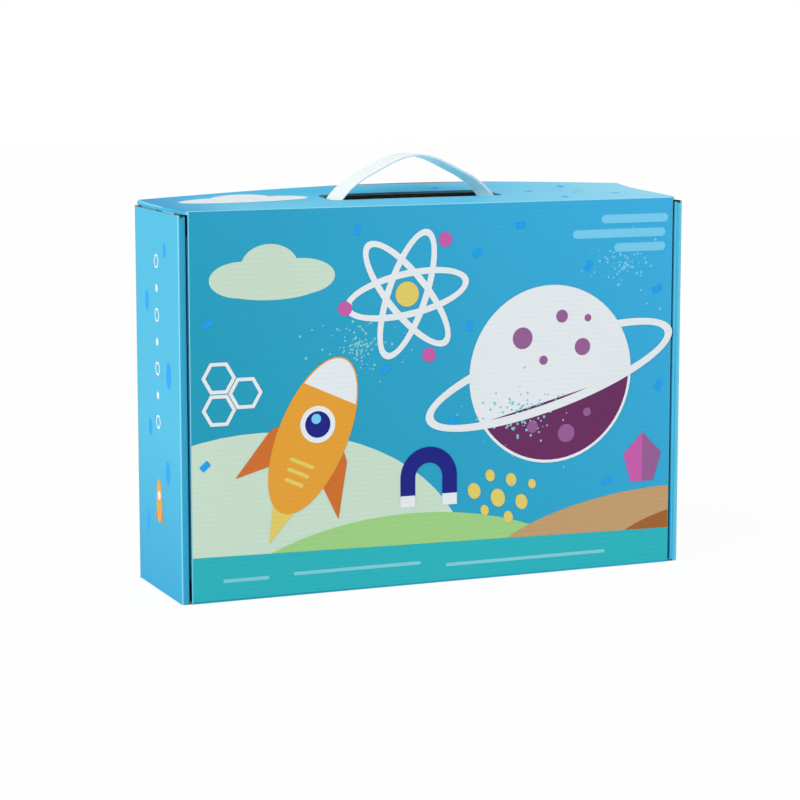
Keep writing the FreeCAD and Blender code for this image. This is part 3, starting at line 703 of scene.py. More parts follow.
# %% Show the flap, its ears and the wall under it
def spring_flat(piece):
    """Give the flap, or a piece of its ink, a mesh of its own."""
    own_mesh(piece)


flap_piece = show("tuck_flap_dressed", flap, board_finishes, "tuck_flap", "printed_board", "tuck_flap")
spring_flat(flap_piece)
for side, other in (("left", "right"), ("right", "left")):
    dress_board("tuck_ear_" + side, "tuck_flap", [side], [other])
spring_length = 16 * mm
spring_room = 0.5 * mm


def wall_spring(x, y):
    """How far the top wall springs up under the flap; it comes down to its crease at the back."""
    from_crease = min(1.0, (flap_high.y - y) / spring_length)
    return max(0.0, flap_lift(x, y) - spring_room) * from_crease


dress_board("top_wall", "tray", ["up"], ["down"], reshape=wall_spring)
print("ears dressed, top wall bent with the flap")

# %% [markdown]
# ## Creases
#
# On the real carton lid, flap and bottom are one sheet, only scored where they fold, so the outer liner
# runs on from panel to panel. Two rigid panels would leave a slit as they swing apart. A thin strip lies
# across each crease, from inside one board to inside the next, turned to run between them, and stays in
# its place. While the carton is shut, the strip hides inside the two boards.

# %% The outer liner across the two long creases
liner = 0.12 * mm
liner_cuts = 6
in_skin = Vector((0, 0.55, -0.70)) * mm
in_flap = Vector((0, 1.25, -1.45)) * mm
in_bottom = Vector((0, 2.05, 0.40)) * mm
in_lid = Vector((0, 1.05, 0.35)) * mm


def crease_liner(name, near, far):
    """A strip over a crease, from a point in one board to a point in the next, turned to run between them."""
    along = far - near
    strip = box_mesh(Vector((lid_low.x, 0, -liner / 2)), Vector((lid_high.x, along.length, liner / 2)))
    step = along.length / liner_cuts
    cut_across(strip, ways["back"], step, along.length - step / 2, step)
    sort_faces(strip, ["up", "left", "right", "front", "back"], ["down"])
    turn = Matrix.Rotation(math.atan2(along.z, along.y), 3, "X")
    bmesh.ops.rotate(strip, cent=(0, 0, 0), matrix=turn, verts=strip.verts)
    bmesh.ops.translate(strip, vec=near, verts=strip.verts)
    piece = show(name, strip, board_finishes[:2], None, "printed_board")
    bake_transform(piece)


top_crease = Vector((0, lid_low.y, flap_high.z))
crease_liner("top_crease_liner", top_crease + in_skin, top_crease + in_flap)
low_crease = Vector((0, lid_low.y, lid_low.z))
crease_liner("low_crease_liner", low_crease + in_bottom, low_crease + in_lid)
print("creases lined")

# %% [markdown]
# ## Carry handle
#
# The handle is a flat strap of white plastic, moulded straight and bent by hand into a low roof when the
# carton is packed. A strap is a section pulled along a line, so a Bezier curve through the bend's points
# carries a small rounded section. Two wings at its ends catch under the flap. The plastic lets some light
# through and light bounces up from the flap: both are painted on the underside, the flap's blue mixed into
# its colour as painted bounce light and a faint glow of that colour.

# %% Pull the strap along its bend
strap_base = flap_high.z
strap_half_bend = [(59.0, -3.0), (55.0, 3.0), (44.0, 12.9), (30.8, 20.2), (11.0, 28.9)]
strap_bend = [(-x, z) for x, z in strap_half_bend] + [(0.0, 30.6)] + strap_half_bend[::-1]
strap_width = 28.0 * mm
strap_thickness = 1.6 * mm
strap_corner = 0.75 * mm
strap_lean = math.radians(1.2)


def strap_section():
    """The strap's section: a thin rectangle with round edges."""
    work = bmesh.new()
    rounded_loop(work, (strap_width / 2, strap_thickness / 2), strap_corner, 0, 0)
    outline = stand("strap_section", mesh_of("strap_section", work))
    with bpy.context.temp_override(active_object=outline, object=outline, selected_objects=[outline],
                                   selected_editable_objects=[outline]):
        bpy.ops.object.convert(target="CURVE")
    return outline


section = strap_section()
path = bpy.data.curves.new("strap_path", "CURVE")
path.dimensions = "3D"
path.twist_mode = "Z_UP"
path.bevel_mode = "OBJECT"
path.bevel_object = section
path.use_fill_caps = True
path.resolution_u = 12
spline = path.splines.new("BEZIER")
spline.bezier_points.add(len(strap_bend) - 1)
for point, (x, z) in zip(spline.bezier_points, strap_bend):
    point.co = (x * mm, slot_middle, strap_base + z * mm)
    point.handle_left_type = "AUTO"
    point.handle_right_type = "AUTO"
path_piece = stand("strap_path", path)
bpy.context.view_layer.update()
strap = bmesh.new()
strap.from_mesh(path_piece.evaluated_get(bpy.context.evaluated_depsgraph_get()).to_mesh())
bpy.data.objects.remove(path_piece)
bpy.data.objects.remove(section)
bmesh.ops.remove_doubles(strap, verts=strap.verts, dist=same_point)
lean = Matrix.Rotation(-strap_lean, 3, "X")
bmesh.ops.rotate(strap, cent=(0, slot_middle, strap_base), matrix=lean, verts=strap.verts)
bmesh.ops.recalc_face_normals(strap, faces=strap.faces)
reach = [max(v.co[axis] for v in strap.verts) - min(v.co[axis] for v in strap.verts) for axis in range(3)]
print("strap:", len(strap.faces), "faces, reach", [round(side / mm, 1) for side in reach])

# %% Wings under the flap
wing_half = Vector((6.5, 18.5, 1.1)) * mm
wing_drop = 3.0 * mm
wing_corner = 0.6 * mm
wing_reach = strap_half_bend[0][0] * mm


def join(work, other):
    """Add the faces of one bmesh to another."""
    mesh = mesh_of("joined", other)
    work.from_mesh(mesh)
    bpy.data.meshes.remove(mesh)


for side in (-1, 1):
    wing_middle = Vector((side * wing_reach, slot_middle, strap_base - wing_drop))
    wing = box_mesh(wing_middle - wing_half, wing_middle + wing_half)
    round_edges(wing, wing_corner, 2, lambda middle, along: True)
    join(strap, wing)
print("wings:", [round(2 * side / mm, 1) for side in wing_half], "mm")

# %% The satin white of the strap
mould_swell = 0.03 * mm
satin_streak = (0.15, 1, 0.15)


def moulded_finish(name, colour, rough=0.36, streak=(1, 1, 1), coat=0.0):
    """Moulded plastic: a little cloudiness in the colour and faint flow marks in the gloss."""
    made, tree, shader, place = start_finish(name)
    flow = cloudiness(tree, place, 160, streak, 3.0)
    feed(tree, shader.inputs["Base Color"], lighten(tree, colour, spread(tree, flow, 0.08, 0.95)))
    feed(tree, shader.inputs["Roughness"], spread(tree, flow, 0.14, rough - 0.07))
    emboss(tree, shader, cloudiness(tree, place, 2400), mould_swell, 0.35)
    shader.inputs["Coat Weight"].default_value = coat
    return made


def recolour(made, choose, colour):
    """Mix another colour into a finish where the choice, made from the object's coordinates, says so."""
    tree = made.node_tree
    socket = tree.nodes["Principled BSDF"].inputs["Base Color"]
    plain = socket.links[0].from_socket
    feed(tree, socket, blend_colours(tree, choose(tree, add(tree, "TexCoord").outputs), plain, colour))


def facing_down(tree, places):
    """A share that grows where the strap's face looks down at the blue flap: where its painted light goes."""
    level = add(tree, "SeparateXYZ", places["Normal"]).outputs["Z"]
    height = add(tree, "SeparateXYZ", places["Object"]).outputs["Z"]
    above_flap = reckon(tree, "GREATER_THAN", height, strap_base)
    share = reckon(tree, "MULTIPLY", ramp(tree, level, -0.2, -0.7), 0.75)
    return reckon(tree, "MULTIPLY", share, above_flap)


# Painted light on the underside: the flap's blue mixed into the base colour as painted bounce light, and a
# glow of the same blue for light through the plastic.
painted_flap_light = tint(150, 220, 240)
white_strap = moulded_finish("white_strap", tint(226, 233, 234), 0.40, satin_streak)
recolour(white_strap, facing_down, painted_flap_light)
strap_tree = white_strap.node_tree
strap_shader = strap_tree.nodes["Principled BSDF"]
strap_shader.inputs["Subsurface Weight"].default_value = 0.6
strap_shader.inputs["Subsurface Radius"].default_value = (1.0, 1.0, 1.0)
strap_shader.inputs["Subsurface Scale"].default_value = 1.5 * mm
underside = facing_down(strap_tree, add(strap_tree, "TexCoord").outputs)
painted_glow = blend_colours(strap_tree, underside, (0, 0, 0, 1), painted_flap_light)
feed(strap_tree, strap_shader.inputs["Emission Color"], painted_glow)
strap_shader.inputs["Emission Strength"].default_value = 0.5
show("carry_handle_dressed", strap, [white_strap], "handle", "white_strap", "carry_handle")
print("handle dressed in", white_strap.name)

# %% [markdown]
# ## Ink
#
# The print is the carton's own, drawn for this lesson: hills, dunes, a ringed planet, a rocket, an atom
# and a magnet on the cyan ground. Each shape is a flat face less than half a millimetre above the sunk
# board, made from a circle or a few points in the panel's own plane. All shapes of one ink on one panel
# are one piece, and a small step in height for each layer keeps them from fighting.

# %% Inks and panels
inks = {"white": (228, 234, 237), "pale_green": (200, 222, 203), "leaf_green": (158, 207, 132),
        "teal": (46, 178, 188), "mist": (128, 203, 214), "tan": (193, 156, 111), "brown": (160, 98, 50),
        "plum": (106, 48, 96), "lilac": (150, 96, 148), "orange": (228, 160, 56), "rust": (206, 112, 48),
        "yellow": (224, 204, 104), "navy": (32, 38, 130), "pink": (198, 94, 170),
        "bright_blue": (34, 160, 236), "light_blue": (120, 203, 238)}
ink_step = 0.03
ink_stack = 12
cloud_points = 180
shape_numbers = itertools.count()


def ink_finish(name):
    """The board's printed look in one ink."""
    made, tree, shader, place = start_finish("ink_" + name)
    print_surface(tree, shader, place, tint(*inks[name]))
    return made


ink_finishes = {name: ink_finish(name) for name in inks}
outer_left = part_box("outer_wall_left")[0].x + wall_sink
outer_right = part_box("outer_wall_right")[1].x - wall_sink
outer_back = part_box("back_panel")[1].y - wall_sink
cover_low, cover_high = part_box("booklet_cover")
cover_middle = (cover_low.x + cover_high.x) / 2
panels = {"lid": ("lid", (0, lid_face, 0), "right", "up", "front"),
          "flap": ("tuck_flap", (0, 0, flap_high.z), "right", "back", "up"),
          "left_wall": ("tray", (outer_left, 0, 0), "front", "up", "left"),
          "right_wall": ("tray", (outer_right, 0, 0), "back", "up", "right"),
          "rear": ("tray", (0, outer_back, 0), "left", "up", "back"),
          "cover": ("tray", (cover_middle, cover_low.y, cover_low.z), "right", "up", "front")}
drawings = {}
print(len(inks), "inks on", len(panels), "panels")

# %% Shapes to draw with
def sheet_of(panel, ink):
    """The drawing of one ink on one panel, in millimetres: across, up and out."""
    if (panel, ink) not in drawings:
        drawings[(panel, ink)] = bmesh.new()
    return drawings[(panel, ink)]


def settle(work, verts, layer, u, v, turn):
    """Turn a shape about its own middle and put it in its place, a hair above the last one of its ink."""
    bmesh.ops.rotate(work, cent=(0, 0, 0), matrix=Matrix.Rotation(math.radians(turn), 3, "Z"), verts=verts)
    stack = next(shape_numbers) % ink_stack / (ink_stack + 2)
    bmesh.ops.translate(work, vec=(u, v, (layer + stack) * ink_step), verts=verts)
    return verts


def disc(panel, ink, layer, u, v, wide, high=None, turn=0, sides=64):
    """A filled circle, ellipse or, with few sides, a polygon."""
    work = sheet_of(panel, ink)
    verts = bmesh.ops.create_circle(work, cap_ends=True, segments=sides, radius=1)["verts"]
    bmesh.ops.scale(work, vec=(wide, high or wide, 1), verts=verts)
    return settle(work, verts, layer, u, v, turn)


def stroke(panel, ink, layer, u, v, length, thick, turn=0):
    """A straight stroke with round ends."""
    work = sheet_of(panel, ink)
    verts = bmesh.ops.create_circle(work, cap_ends=True, segments=30, radius=thick / 2)["verts"]
    for vertex in verts:
        vertex.co.x += math.copysign(length / 2, vertex.co.x)
    return settle(work, verts, layer, u, v, turn)


def ring(panel, ink, layer, u, v, wide, high, thick, turn=0, sides=72):
    """A band of even width round an ellipse or polygon."""
    work = sheet_of(panel, ink)
    outer = bmesh.ops.create_circle(work, cap_ends=False, segments=sides, radius=1)["verts"]
    edges = list({edge for vertex in outer for edge in vertex.link_edges})
    inner = verts_of(bmesh.ops.extrude_edge_only(work, edges=edges))
    bmesh.ops.scale(work, vec=(wide, high, 1), verts=outer)
    bmesh.ops.scale(work, vec=(wide - thick, high - thick, 1), verts=inner)
    return settle(work, outer + inner, layer, u, v, turn)


def patch(panel, ink, layer, points, u=0, v=0, turn=0):
    """A filled outline through a few points."""
    work = sheet_of(panel, ink)
    verts = [work.verts.new((x, y, 0)) for x, y in points]
    work.faces.new(verts)
    return settle(work, verts, layer, u, v, turn)


print("shapes: disc, stroke, ring and patch")

# %% Clouds, trims and scraps
def cloud(panel, ink, layer, middle, lobes):
    """One outline round several overlapping ellipses, found by looking out from a point inside them."""
    points = []
    for step in range(cloud_points):
        angle = 2 * math.pi * step / cloud_points
        look = Vector((math.cos(angle), math.sin(angle)))
        far = 0.0
        for u, v, wide, high in lobes:
            start = Vector(((middle[0] - u) / wide, (middle[1] - v) / high))
            way = Vector((look.x / wide, look.y / high))
            half_turn = start.dot(way) / way.length_squared
            beyond = (1 - start.length_squared) / way.length_squared
            far = max(far, math.sqrt(half_turn ** 2 + beyond) - half_turn)
        points.append(look * far)
    return patch(panel, ink, layer, points, *middle)


def trim(panel, ink, verts, u, v, turn):
    """Cut away the part of a shape that lies beyond a line, on the side that the angle points to."""
    work = sheet_of(panel, ink)
    edges = {edge for vertex in verts for edge in vertex.link_edges}
    faces = {face for vertex in verts for face in vertex.link_faces}
    way = (math.cos(math.radians(turn)), math.sin(math.radians(turn)), 0)
    made = bmesh.ops.bisect_plane(work, geom=verts + list(edges) + list(faces), plane_co=(u, v, 0),
                                  plane_no=way, clear_outer=True)
    return [vertex for vertex in dict.fromkeys(verts_of(made)) if vertex.is_valid]


def trim_to(panel, ink, verts, reach, foot):
    """Cut a shape off at a panel's left, right and lower edges."""
    for u, v, turn in ((-reach, 0, 180), (reach, 0, 0), (0, foot, 270)):
        verts = trim(panel, ink, verts, u, v, turn)


def rectangle(half_width, low, high):
    """The corners of an upright rectangle about its middle line."""
    return [(-half_width, low), (half_width, low), (half_width, high), (-half_width, high)]


def confetti(panel, layer, places):
    """Small bright blue scraps of paper, each with its turn."""
    for u, v, turn in places:
        patch(panel, "bright_blue", layer, rectangle(3.6, -2.2, 2.2), u, v, turn)


print("more shapes: cloud, rectangle and confetti")

# %% Land and sky on the lid
lid_reach = lid_high.x / mm - 0.7
lid_foot = 1.4
hills = [("pale_green", -128, 8, 150, 104, 0), ("leaf_green", -20, -46, 168, 96, 0),
         ("tan", 150, 14, 120, 40, 6), ("brown", 190, 6, 74, 34, 10)]
for layer, (ink, *shape) in enumerate(hills, 1):
    trim_to("lid", ink, disc("lid", ink, layer, *shape), lid_reach, lid_foot)
patch("lid", "teal", 5, [(-lid_reach, lid_foot), (lid_reach, lid_foot), (lid_reach, 25), (-lid_reach, 31)])
cloud("lid", "pale_green", 1, (-121, 214),
      ((-142, 214, 22, 12), (-122, 222, 20, 15), (-100, 215, 24, 12), (-121, 208, 34, 8)))
for u, v, length in ((148, 246, 46), (136, 236, 66), (152, 226, 34)):
    stroke("lid", "light_blue", 1, u, v, length, 6)
for u, v, length in ((-60, 15, 90), (66, 12, 120), (-140, 14, 30)):
    stroke("lid", "mist", 6, u, v, length, 2.4)
print("land and sky drawn")

# %% The ringed planet
planet = (84, 140)
planet_ring = (98, 25, 6, 16)
ring("lid", "white", 7, *planet, *planet_ring)
disc("lid", "white", 8, *planet, 62)
shade = disc("lid", "plum", 9, *planet, 60)
trim("lid", "plum", shade, 84, 122, 104)
craters = [(62, 166, 7.5), (92, 180, 4.5), (108, 158, 6.0), (78, 150, 3.2), (112, 178, 2.6),
           (70, 104, 4.2), (96, 98, 6.4), (112, 112, 3.0)]
for crater in craters:
    disc("lid", "lilac", 10, *crater)
front_ring = ring("lid", "white", 11, *planet, *planet_ring)
trim("lid", "white", front_ring, *planet, 106)
print("planet drawn at", planet)

# %% The rocket
rocket_turn = -24
rocket = Vector((-92, 108))


def on_rocket(u, v):
    """A place on the rocket, which leans, as a place on the lid."""
    turned = Matrix.Rotation(math.radians(rocket_turn), 2) @ Vector((u, v))
    return rocket.x + turned.x, rocket.y + turned.y


fin = [(40, -46), (16, -26), (16, 8), (30, -8)]
for side in (-1, 1):
    patch("lid", "rust", 7, [(side * u, v) for u, v in fin], *rocket, rocket_turn)
patch("lid", "yellow", 7, [(-11, -44), (0, -78), (11, -44)], *rocket, rocket_turn)
disc("lid", "orange", 8, *rocket, 25, 56, rocket_turn)
nose = disc("lid", "white", 9, *rocket, 24, 55, rocket_turn)
trim("lid", "white", nose, *on_rocket(0, 30), rocket_turn - 90)
disc("lid", "white", 10, *on_rocket(0, 8), 12.5)
disc("lid", "navy", 11, *on_rocket(0, 8), 9)
disc("lid", "light_blue", 12, *on_rocket(-2.6, 11), 3.4)
for rise in (-20, -27, -34):
    stroke("lid", "yellow", 9, *on_rocket(0, rise), 22 - abs(rise) * 0.3, 2.6, rocket_turn)
print("rocket drawn at", tuple(rocket))

# %% Atom, magnet, molecules and small marks
atom = (-24, 200)
for turn in (10, 70, 130):
    ring("lid", "white", 7, *atom, 46, 16, 4.6, turn)
disc("lid", "yellow", 9, *atom, 8.5)
for u, v in ((-69, 192), (4, 236), (-8, 158)):
    disc("lid", "pink", 9, u, v, 5)
magnet = (-8, 74)
arch = ring("lid", "navy", 7, *magnet, 21, 21, 11)
trim("lid", "navy", arch, *magnet, 270)
for u in (magnet[0] - 15.5, magnet[0] + 15.5):
    patch("lid", "navy", 7, rectangle(5.5, -20, 0), u, magnet[1])
    patch("lid", "white", 8, rectangle(5.5, -20, -12), u, magnet[1])
for u, v in ((-158, 150), (-139.5, 139.3), (-158, 128.6)):
    ring("lid", "white", 7, u, v, 12, 12, 2.8, 30, sides=6)
crystal = (156, 76)
patch("lid", "pink", 7, [(-9, -16), (9, -16), (15, 4), (0, 19), (-15, 4)], *crystal)
patch("lid", "lilac", 8, [(0, -16), (9, -16), (15, 4), (0, 19)], *crystal)
pollen = [(26, 62, 4.6), (38, 72, 3.4), (44, 56, 5.2), (54, 68, 3.8), (62, 52, 4.4), (34, 48, 3.0),
          (52, 42, 3.4), (70, 64, 2.8)]
for u, v, radius in pollen:
    disc("lid", "yellow", 7, u, v, radius, radius * 1.25, 20)
confetti("lid", 6, [(-165, 186, 20), (-60, 244, 70), (28, 226, 35), (60, 244, 10), (112, 214, 60),
                    (166, 196, 25), (22, 176, 80), (-40, 150, 15), (168, 128, 65), (-168, 92, 40),
                    (10, 112, 5), (128, 62, 30)])
print("atom, magnet, hexagons, crystal and", len(pollen), "grains drawn")

# %% Sprayed speckle
spray = random.Random(11)


def speckle(panel, ink, layer, u, v, reach, count):
    """A burst of small dots that thins out from its middle."""
    for number in range(count):
        far = reach * abs(spray.gauss(0, 0.42))
        angle = spray.uniform(0, 2 * math.pi)
        disc(panel, ink, layer, u + far * math.cos(angle), v + far * math.sin(angle) * 0.7,
             spray.uniform(0.35, 1.05), sides=6)


speckle("lid", "mist", 10, 60, 112, 46, 150)
speckle("lid", "mist", 2, -60, 168, 44, 130)
speckle("lid", "light_blue", 1, 140, 214, 40, 90)
print("speckle drawn")

# %% Flap, side walls and rear
cloud("flap", "white", 2, (-119, 12),
      ((-140, 14, 24, 14), (-118, 20, 22, 17), (-98, 12, 25, 12), (-120, 6, 36, 9)))
confetti("flap", 2, [(-40, 33, 20), (30, 30, 65), (92, 8, 30), (128, 30, 75), (150, -12, 15), (102, -30, 50)])
for u, v, radius in ((116, 18, 7), (132, 10, 4.5), (124, -2, 3.2)):
    ring("flap", "light_blue", 2, u, v, radius, radius, 1.8)
for wall in ("left_wall", "right_wall"):
    for number, rise in enumerate((224, 206, 188, 170, 152, 134, 116)):
        if number % 2:
            disc(wall, "white", 2, 0, rise, 2.6)
        else:
            ring(wall, "white", 2, 0, rise, 5.2, 5.2, 1.5, 30, sides=6)
    for drop in ((18, 232, 3, 5), (-22, 196, 4, 7), (24, 150, 5, 9), (-18, 110, 4, 6), (20, 84, 5, 8),
                 (-26, 44, 4, 7)):
        disc(wall, "bright_blue", 1, *drop)
    disc(wall, "orange", 3, 0, 62, 6, 15)
    patch(wall, "rust", 2, [(-11, -16), (0, -6), (11, -16), (0, 4)], 0, 62)
    disc(wall, "white", 4, 0, 66, 3)
confetti("rear", 2, [(-150, 226, 20), (-90, 30, 70), (-30, 236, 35), (40, 20, 10), (112, 230, 60),
                     (158, 60, 25)])
for hill in ((-120, 20, 120, 40), (60, 6, 150, 46)):
    trim_to("rear", "leaf_green", disc("rear", "leaf_green", 1, *hill), 181, 2)
blank_right = [(116, 84), (124, 92), (124, 206), (116, 214)]
blank_left = [(-u, v) for u, v in reversed(blank_right)]
patch("rear", "white", 2, blank_right + blank_left)
patch("cover", "white", 1, rectangle(42, 158, 192))
disc("cover", "yellow", 1, 0, 92, 38)
disc("cover", "plum", 2, 6, 96, 20)
ring("cover", "white", 3, 6, 96, 34, 9, 3, 18)
for u, v, radius in ((-34, 42, 4), (-14, 30, 6), (18, 36, 5), (38, 26, 3.5)):
    disc("cover", "rust", 1, u, v, radius)
stroke("cover", "rust", 1, 0, 14, 84, 2.4)
print("drawings:", len(drawings))

# %% Lay the ink on the boards
for (panel, ink), work in sorted(drawings.items()):
    body, start, right, up, out = panels[panel]
    if panel == "flap":
        cut_to_bend(work, 1, 0.5)
    for face in work.faces:
        face.normal_update()
        if face.normal.z < 0:
            face.normal_flip()
    basis = Matrix((ways[right], ways[up], ways[out])).transposed().to_4x4()
    to_panel = Matrix.Translation(start) @ basis @ Matrix.Scale(mm, 4)
    bmesh.ops.transform(work, matrix=to_panel, verts=work.verts)
    if panel == "flap":
        for vertex in work.verts:
            vertex.co.z += flap_lift(vertex.co.x, vertex.co.y)
    piece = show("ink_" + panel + "_" + ink, work, [ink_finishes[ink]], body, "printed_board")
    if panel == "flap":
        spring_flat(piece)
print("ink laid")

# %% [markdown]
# ## Cell divider
#
# The apparatus stands in cells of white-topped board that lap into each other. Their broad faces are
# clean and their cut edges are raw, so each plate is copied and its faces are sorted by the way that the
# plate is thin: across X for the uprights and along Z for the shelf.

# %% Dress the uprights and the shelf
for number in range(1, 9):
    node = "shelf" if number == 8 else "divider_" + str(number)
    plate = merged_copy(node)
    thin_way = ways["up"] if node == "shelf" else ways["right"]
    for face in plate.faces:
        face.normal_update()
        face.material_index = 0 if abs(face.normal.dot(thin_way)) > 0.7 else 1
    show(node + "_dressed", plate, [divider_board, raw_edge], "tray", "divider_board", node)
print("divider plates dressed")

# %% [markdown]
# ## Clear vessels
#
# Flask, beaker, dish, tubes and syringe are moulded in clear plastic, the dropper is glass. Their walls
# are real in the CAD, and walls this thin hardly bend light, so the finish is open in the middle and
# denser towards the rims, with a trace of haze. The measuring lines are part of the finish: short ones at
# each step up the wall and long ones at each fifth, on the side that looks to the front.

# %% Measuring lines and the clear finish
mark_width = 0.45 * mm


def measuring_lines(tree, place, node, first, last, step, half_length):
    """1 on the measuring lines of a vessel, between two heights above its foot, else 0."""
    low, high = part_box(node)
    middle = (low + high) / 2
    parts = add(tree, "SeparateXYZ", place).outputs
    rise = reckon(tree, "SUBTRACT", parts["Z"], low.z)
    aside = reckon(tree, "ABSOLUTE", reckon(tree, "SUBTRACT", parts["X"], middle.x))
    on_scale = reckon(tree, "MULTIPLY", within(tree, rise, first, last),
                      reckon(tree, "LESS_THAN", parts["Y"], middle.y))
    marks = 0.0
    for pitch, reach in ((step, half_length / 2), (step * 5, half_length)):
        turns = reckon(tree, "DIVIDE", reckon(tree, "SUBTRACT", rise, first), pitch)
        line = reckon(tree, "LESS_THAN", reckon(tree, "FRACT", turns), mark_width / pitch)
        mark = reckon(tree, "MULTIPLY", line, reckon(tree, "LESS_THAN", aside, reach))
        marks = reckon(tree, "MAXIMUM", marks, mark)
    return reckon(tree, "MULTIPLY", marks, on_scale)


def clear_finish(name, colour, scale=None, rough=0.05):
    """Clear plastic or glass: nearly open in the middle, denser towards its rims, with slight haze."""
    made, tree, shader, place = start_finish(name)
    haze = cloudiness(tree, place, 90, detail=3.0)
    feed(tree, shader.inputs["Roughness"], spread(tree, haze, 0.06, rough))
    rim = reckon(tree, "POWER", add(tree, "LayerWeight", 0.5).outputs["Facing"], 2.2)
    cover = spread(tree, rim, 0.55, reckon(tree, "MULTIPLY", haze, 0.16))
    shader.inputs["Base Color"].default_value = colour
    if scale:
        printed = measuring_lines(tree, place, *scale)
        feed(tree, shader.inputs["Base Color"], blend_colours(tree, printed, colour, tint(28, 92, 168)))
        cover = reckon(tree, "MAXIMUM", cover, printed)
    feed(tree, shader.inputs["Alpha"], cover)
    return made


print("measuring lines", round(mark_width / mm, 2), "mm wide")

# %% Dress the clear pieces
def dress_piece(node, finish, slot, body="tray"):
    """Copy a CAD piece, shade its rounds smooth and give it one finish."""
    return show(node + "_dressed", merged_copy(node), [finish], body, slot, node)


clear_tint = tint(240, 248, 250)
scales = {"flask": (14, 60, 2.5, 9), "beaker": (10, 58, 2.5, 10)}
for number in range(1, 4):
    scales["test_tube_" + str(number)] = (20, 82, 2, 5)
scales["syringe_barrel"] = (12, 48, 1.6, 5)
for node, scale in scales.items():
    sizes = [length * mm for length in scale]
    dress_piece(node, clear_finish("clear_" + node, clear_tint, (node, *sizes)), "clear_plastic")
dish_clear = clear_finish("clear_dish", clear_tint)
for node in ("petri_dish", "petri_cover"):
    dress_piece(node, dish_clear, "clear_plastic")
dress_piece("dropper_tube", clear_finish("dropper_glass", tint(228, 246, 242), rough=0.0), "dropper_glass")
dress_piece("magnifier_lens", clear_finish("lens_clear", tint(240, 250, 252), rough=0.0), "lens_plastic")
print("clear pieces:", len(scales) + 4)

# %% [markdown]
# ## Rubber and moulded plastic
#
# The stoppers are pressed rubber: dull, with a little bloom and small pits. The other pieces come from a
# mould: satin blue for the funnel and the magnifier, white for the rod and the plunger, whose lower end
# is a dark seal.

# %% Stoppers, bulb, funnel, magnifier, rod and plunger
pit_depth = 0.06 * mm
seal_height = 7 * mm


def rubber_finish(name, colour):
    """Pressed rubber: dull, with pale bloom in patches and fine pits."""
    made, tree, shader, place = start_finish(name)
    bloom = cloudiness(tree, place, 220, detail=4.0)
    powder = ramp(tree, bloom, 0.45, 0.8)
    bloomed = blend_colours(tree, reckon(tree, "MULTIPLY", powder, 0.22), colour, tint(226, 214, 204))
    feed(tree, shader.inputs["Base Color"], bloomed)
    feed(tree, shader.inputs["Roughness"], spread(tree, bloom, 0.2, 0.62))
    shader.inputs["Specular IOR Level"].default_value = 0.3
    emboss(tree, shader, cloudiness(tree, place, 1800, detail=3.0), pit_depth, 0.5)
    return made


def in_seal(tree, places):
    """1 in the plunger's lower end, which is its rubber seal."""
    height = add(tree, "SeparateXYZ", places["Object"]).outputs["Z"]
    return reckon(tree, "LESS_THAN", height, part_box("syringe_plunger")[0].z + seal_height)


stopper_rubber = rubber_finish("stopper_rubber", tint(196, 92, 52))
dress_piece("flask_stopper", stopper_rubber, "stopper_rubber", "flask_stopper")
for number in range(1, 4):
    node = "tube_stopper_" + str(number)
    dress_piece(node, stopper_rubber, "stopper_rubber", node)
dress_piece("dropper_bulb", rubber_finish("bulb_rubber", tint(190, 44, 40)), "bulb_rubber")
blue_plastic = moulded_finish("blue_plastic", tint(38, 98, 186), 0.30, coat=0.15)
for node in ("funnel", "magnifier_frame"):
    dress_piece(node, blue_plastic, "blue_plastic")
plain_white = tint(240, 240, 237)
rod_plastic = moulded_finish("rod_plastic", plain_white, 0.34, (1, 1, 0.1))
dress_piece("stirring_rod", rod_plastic, "white_plastic")
plunger_plastic = moulded_finish("plunger_plastic", plain_white, 0.38)
recolour(plunger_plastic, in_seal, tint(40, 40, 44))
dress_piece("syringe_plunger", plunger_plastic, "white_plastic", "plunger")
print("rubber and moulded pieces dressed")

# %% [markdown]
# ## Powder bottles and caps
#
# Four blown bottles hold the powders. Each has a wrapped paper label with a colour band and a few grey
# lines, and a screw cap in the same colour. The cap's grip is a ring of small ribs: one rib is a box with
# rounded edges, and a spin copies it round the cap's axis.

# %% Bottles with labels
cap_colours = [(214, 52, 44), (240, 184, 38), (44, 104, 196), (56, 152, 82)]
label_low, label_high = 7 * mm, 35 * mm
band_low, band_high = 24 * mm, 33 * mm
line_rises = (11 * mm, 15 * mm, 19 * mm)
line_width = 1.2 * mm
label_thickness = 0.12 * mm


def label_finish(node, band_colour):
    """Blown white plastic with a paper label round its middle."""
    made, tree, shader, place = start_finish(node + "_plastic")
    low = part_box(node)[0]
    height = reckon(tree, "SUBTRACT", add(tree, "SeparateXYZ", place).outputs["Z"], low.z)
    swirl = cloudiness(tree, place, 140, detail=3.0)
    plastic = blend_colours(tree, swirl, tint(238, 238, 232), tint(226, 228, 224))
    fibre = cloudiness(tree, place, 1200)
    paper = blend_colours(tree, fibre, tint(250, 249, 244), tint(236, 234, 226))
    on_label = within(tree, height, label_low, label_high)
    colour = blend_colours(tree, on_label, plastic, paper)
    colour = blend_colours(tree, within(tree, height, band_low, band_high), colour, tint(*band_colour))
    for rise in line_rises:
        on_line = within(tree, height, rise, rise + line_width)
        colour = blend_colours(tree, on_line, colour, tint(166, 170, 174))
    feed(tree, shader.inputs["Base Color"], colour)
    feed(tree, shader.inputs["Roughness"], spread(tree, on_label, 0.35, 0.38))
    emboss(tree, shader, spread(tree, swirl, 0.3, on_label), label_thickness, 0.7)
    return made


for number, colour in enumerate(cap_colours, 1):
    node = "bottle_" + str(number)
    dress_piece(node, label_finish(node, colour), "bottle_plastic")
print("bottles labelled")

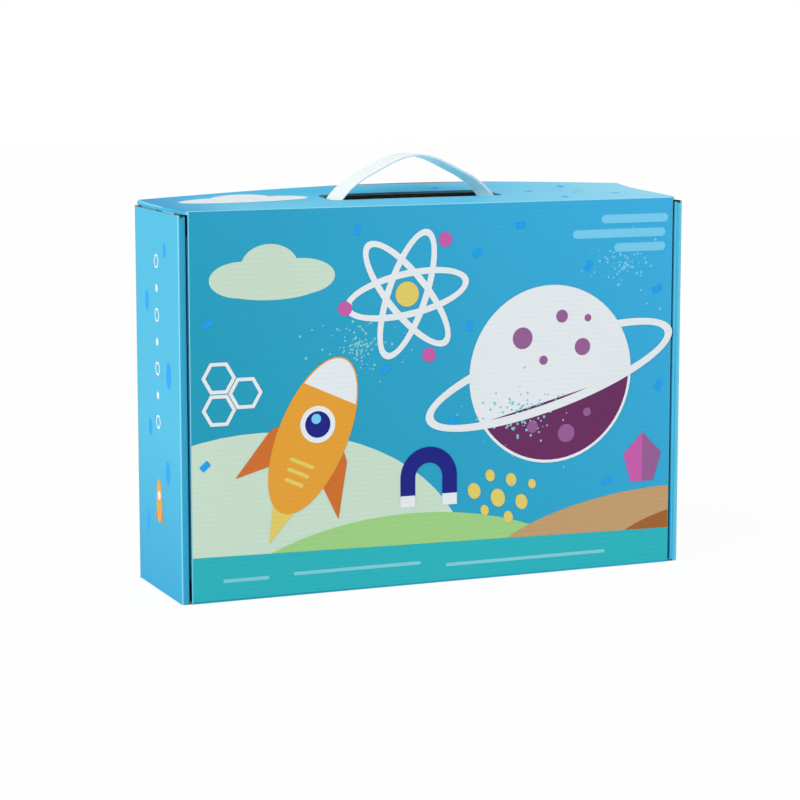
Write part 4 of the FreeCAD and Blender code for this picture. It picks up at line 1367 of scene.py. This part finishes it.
# %% Ribbed caps
rib_count = 40
rib_corner = 0.24 * mm
rib_start = Vector((-0.3, -0.5, 0.7)) * mm
rib_end = Vector((0.35, 0.5, -1.5)) * mm


def ribbed_cap(node, finish, slot):
    """Copy a CAD cap and add a ring of grip ribs to its skirt."""
    cap = merged_copy(node)
    low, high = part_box(node)
    middle = (low + high) / 2
    rib = box_mesh(Vector((high.x, middle.y, low.z)) + rib_start,
                   Vector((high.x, middle.y, high.z)) + rib_end)
    round_edges(rib, rib_corner, 2, lambda point, along: point.x > high.x)
    bmesh.ops.spin(rib, geom=all_of(rib), cent=middle, axis=(0, 0, 1), dvec=(0, 0, 0), steps=rib_count - 1,
                   angle=2 * math.pi * (rib_count - 1) / rib_count, use_duplicate=True)
    join(cap, rib)
    return show(node + "_dressed", cap, [finish], node, slot, node)


for number, colour in enumerate(cap_colours, 1):
    node = "bottle_cap_" + str(number)
    cap_plastic = moulded_finish("cap_plastic_" + str(number), tint(*colour), 0.32, coat=0.1)
    ribbed_cap(node, cap_plastic, "cap_plastic_" + str(number))
print("caps:", rib_count, "ribs each")

# %% [markdown]
# ## Booklet
#
# The booklet is a stack of leaves in a coated cover. The leaves show as fine lines on the stack's edges,
# so the paper's finish has stripes through its thickness. The cover is orange card with a plain drawing.

# %% Leaves, cover and its drawing
leaf_swell = 0.05 * mm


def leaf_finish():
    """The edge of a paper stack: fine uneven lines, one for each few leaves."""
    made, tree, shader, place = start_finish("booklet_paper")
    leaves = cloudiness(tree, place, 260, (0.02, 30, 0.02), 2.0)
    colour = blend_colours(tree, leaves, tint(252, 250, 243), tint(214, 208, 196))
    feed(tree, shader.inputs["Base Color"], colour)
    shader.inputs["Roughness"].default_value = 0.85
    emboss(tree, shader, leaves, leaf_swell)
    return made


def cover_finish():
    """Coated orange card: even ink and a light gloss."""
    made, tree, shader, place = start_finish("booklet_card")
    print_surface(tree, shader, place, tint(240, 158, 62))
    shader.inputs["Coat Weight"].default_value = 0.2
    return made


dress_piece("booklet_pages", leaf_finish(), "booklet_paper")
dress_piece("booklet_cover", cover_finish(), "booklet_card")
print("booklet dressed")
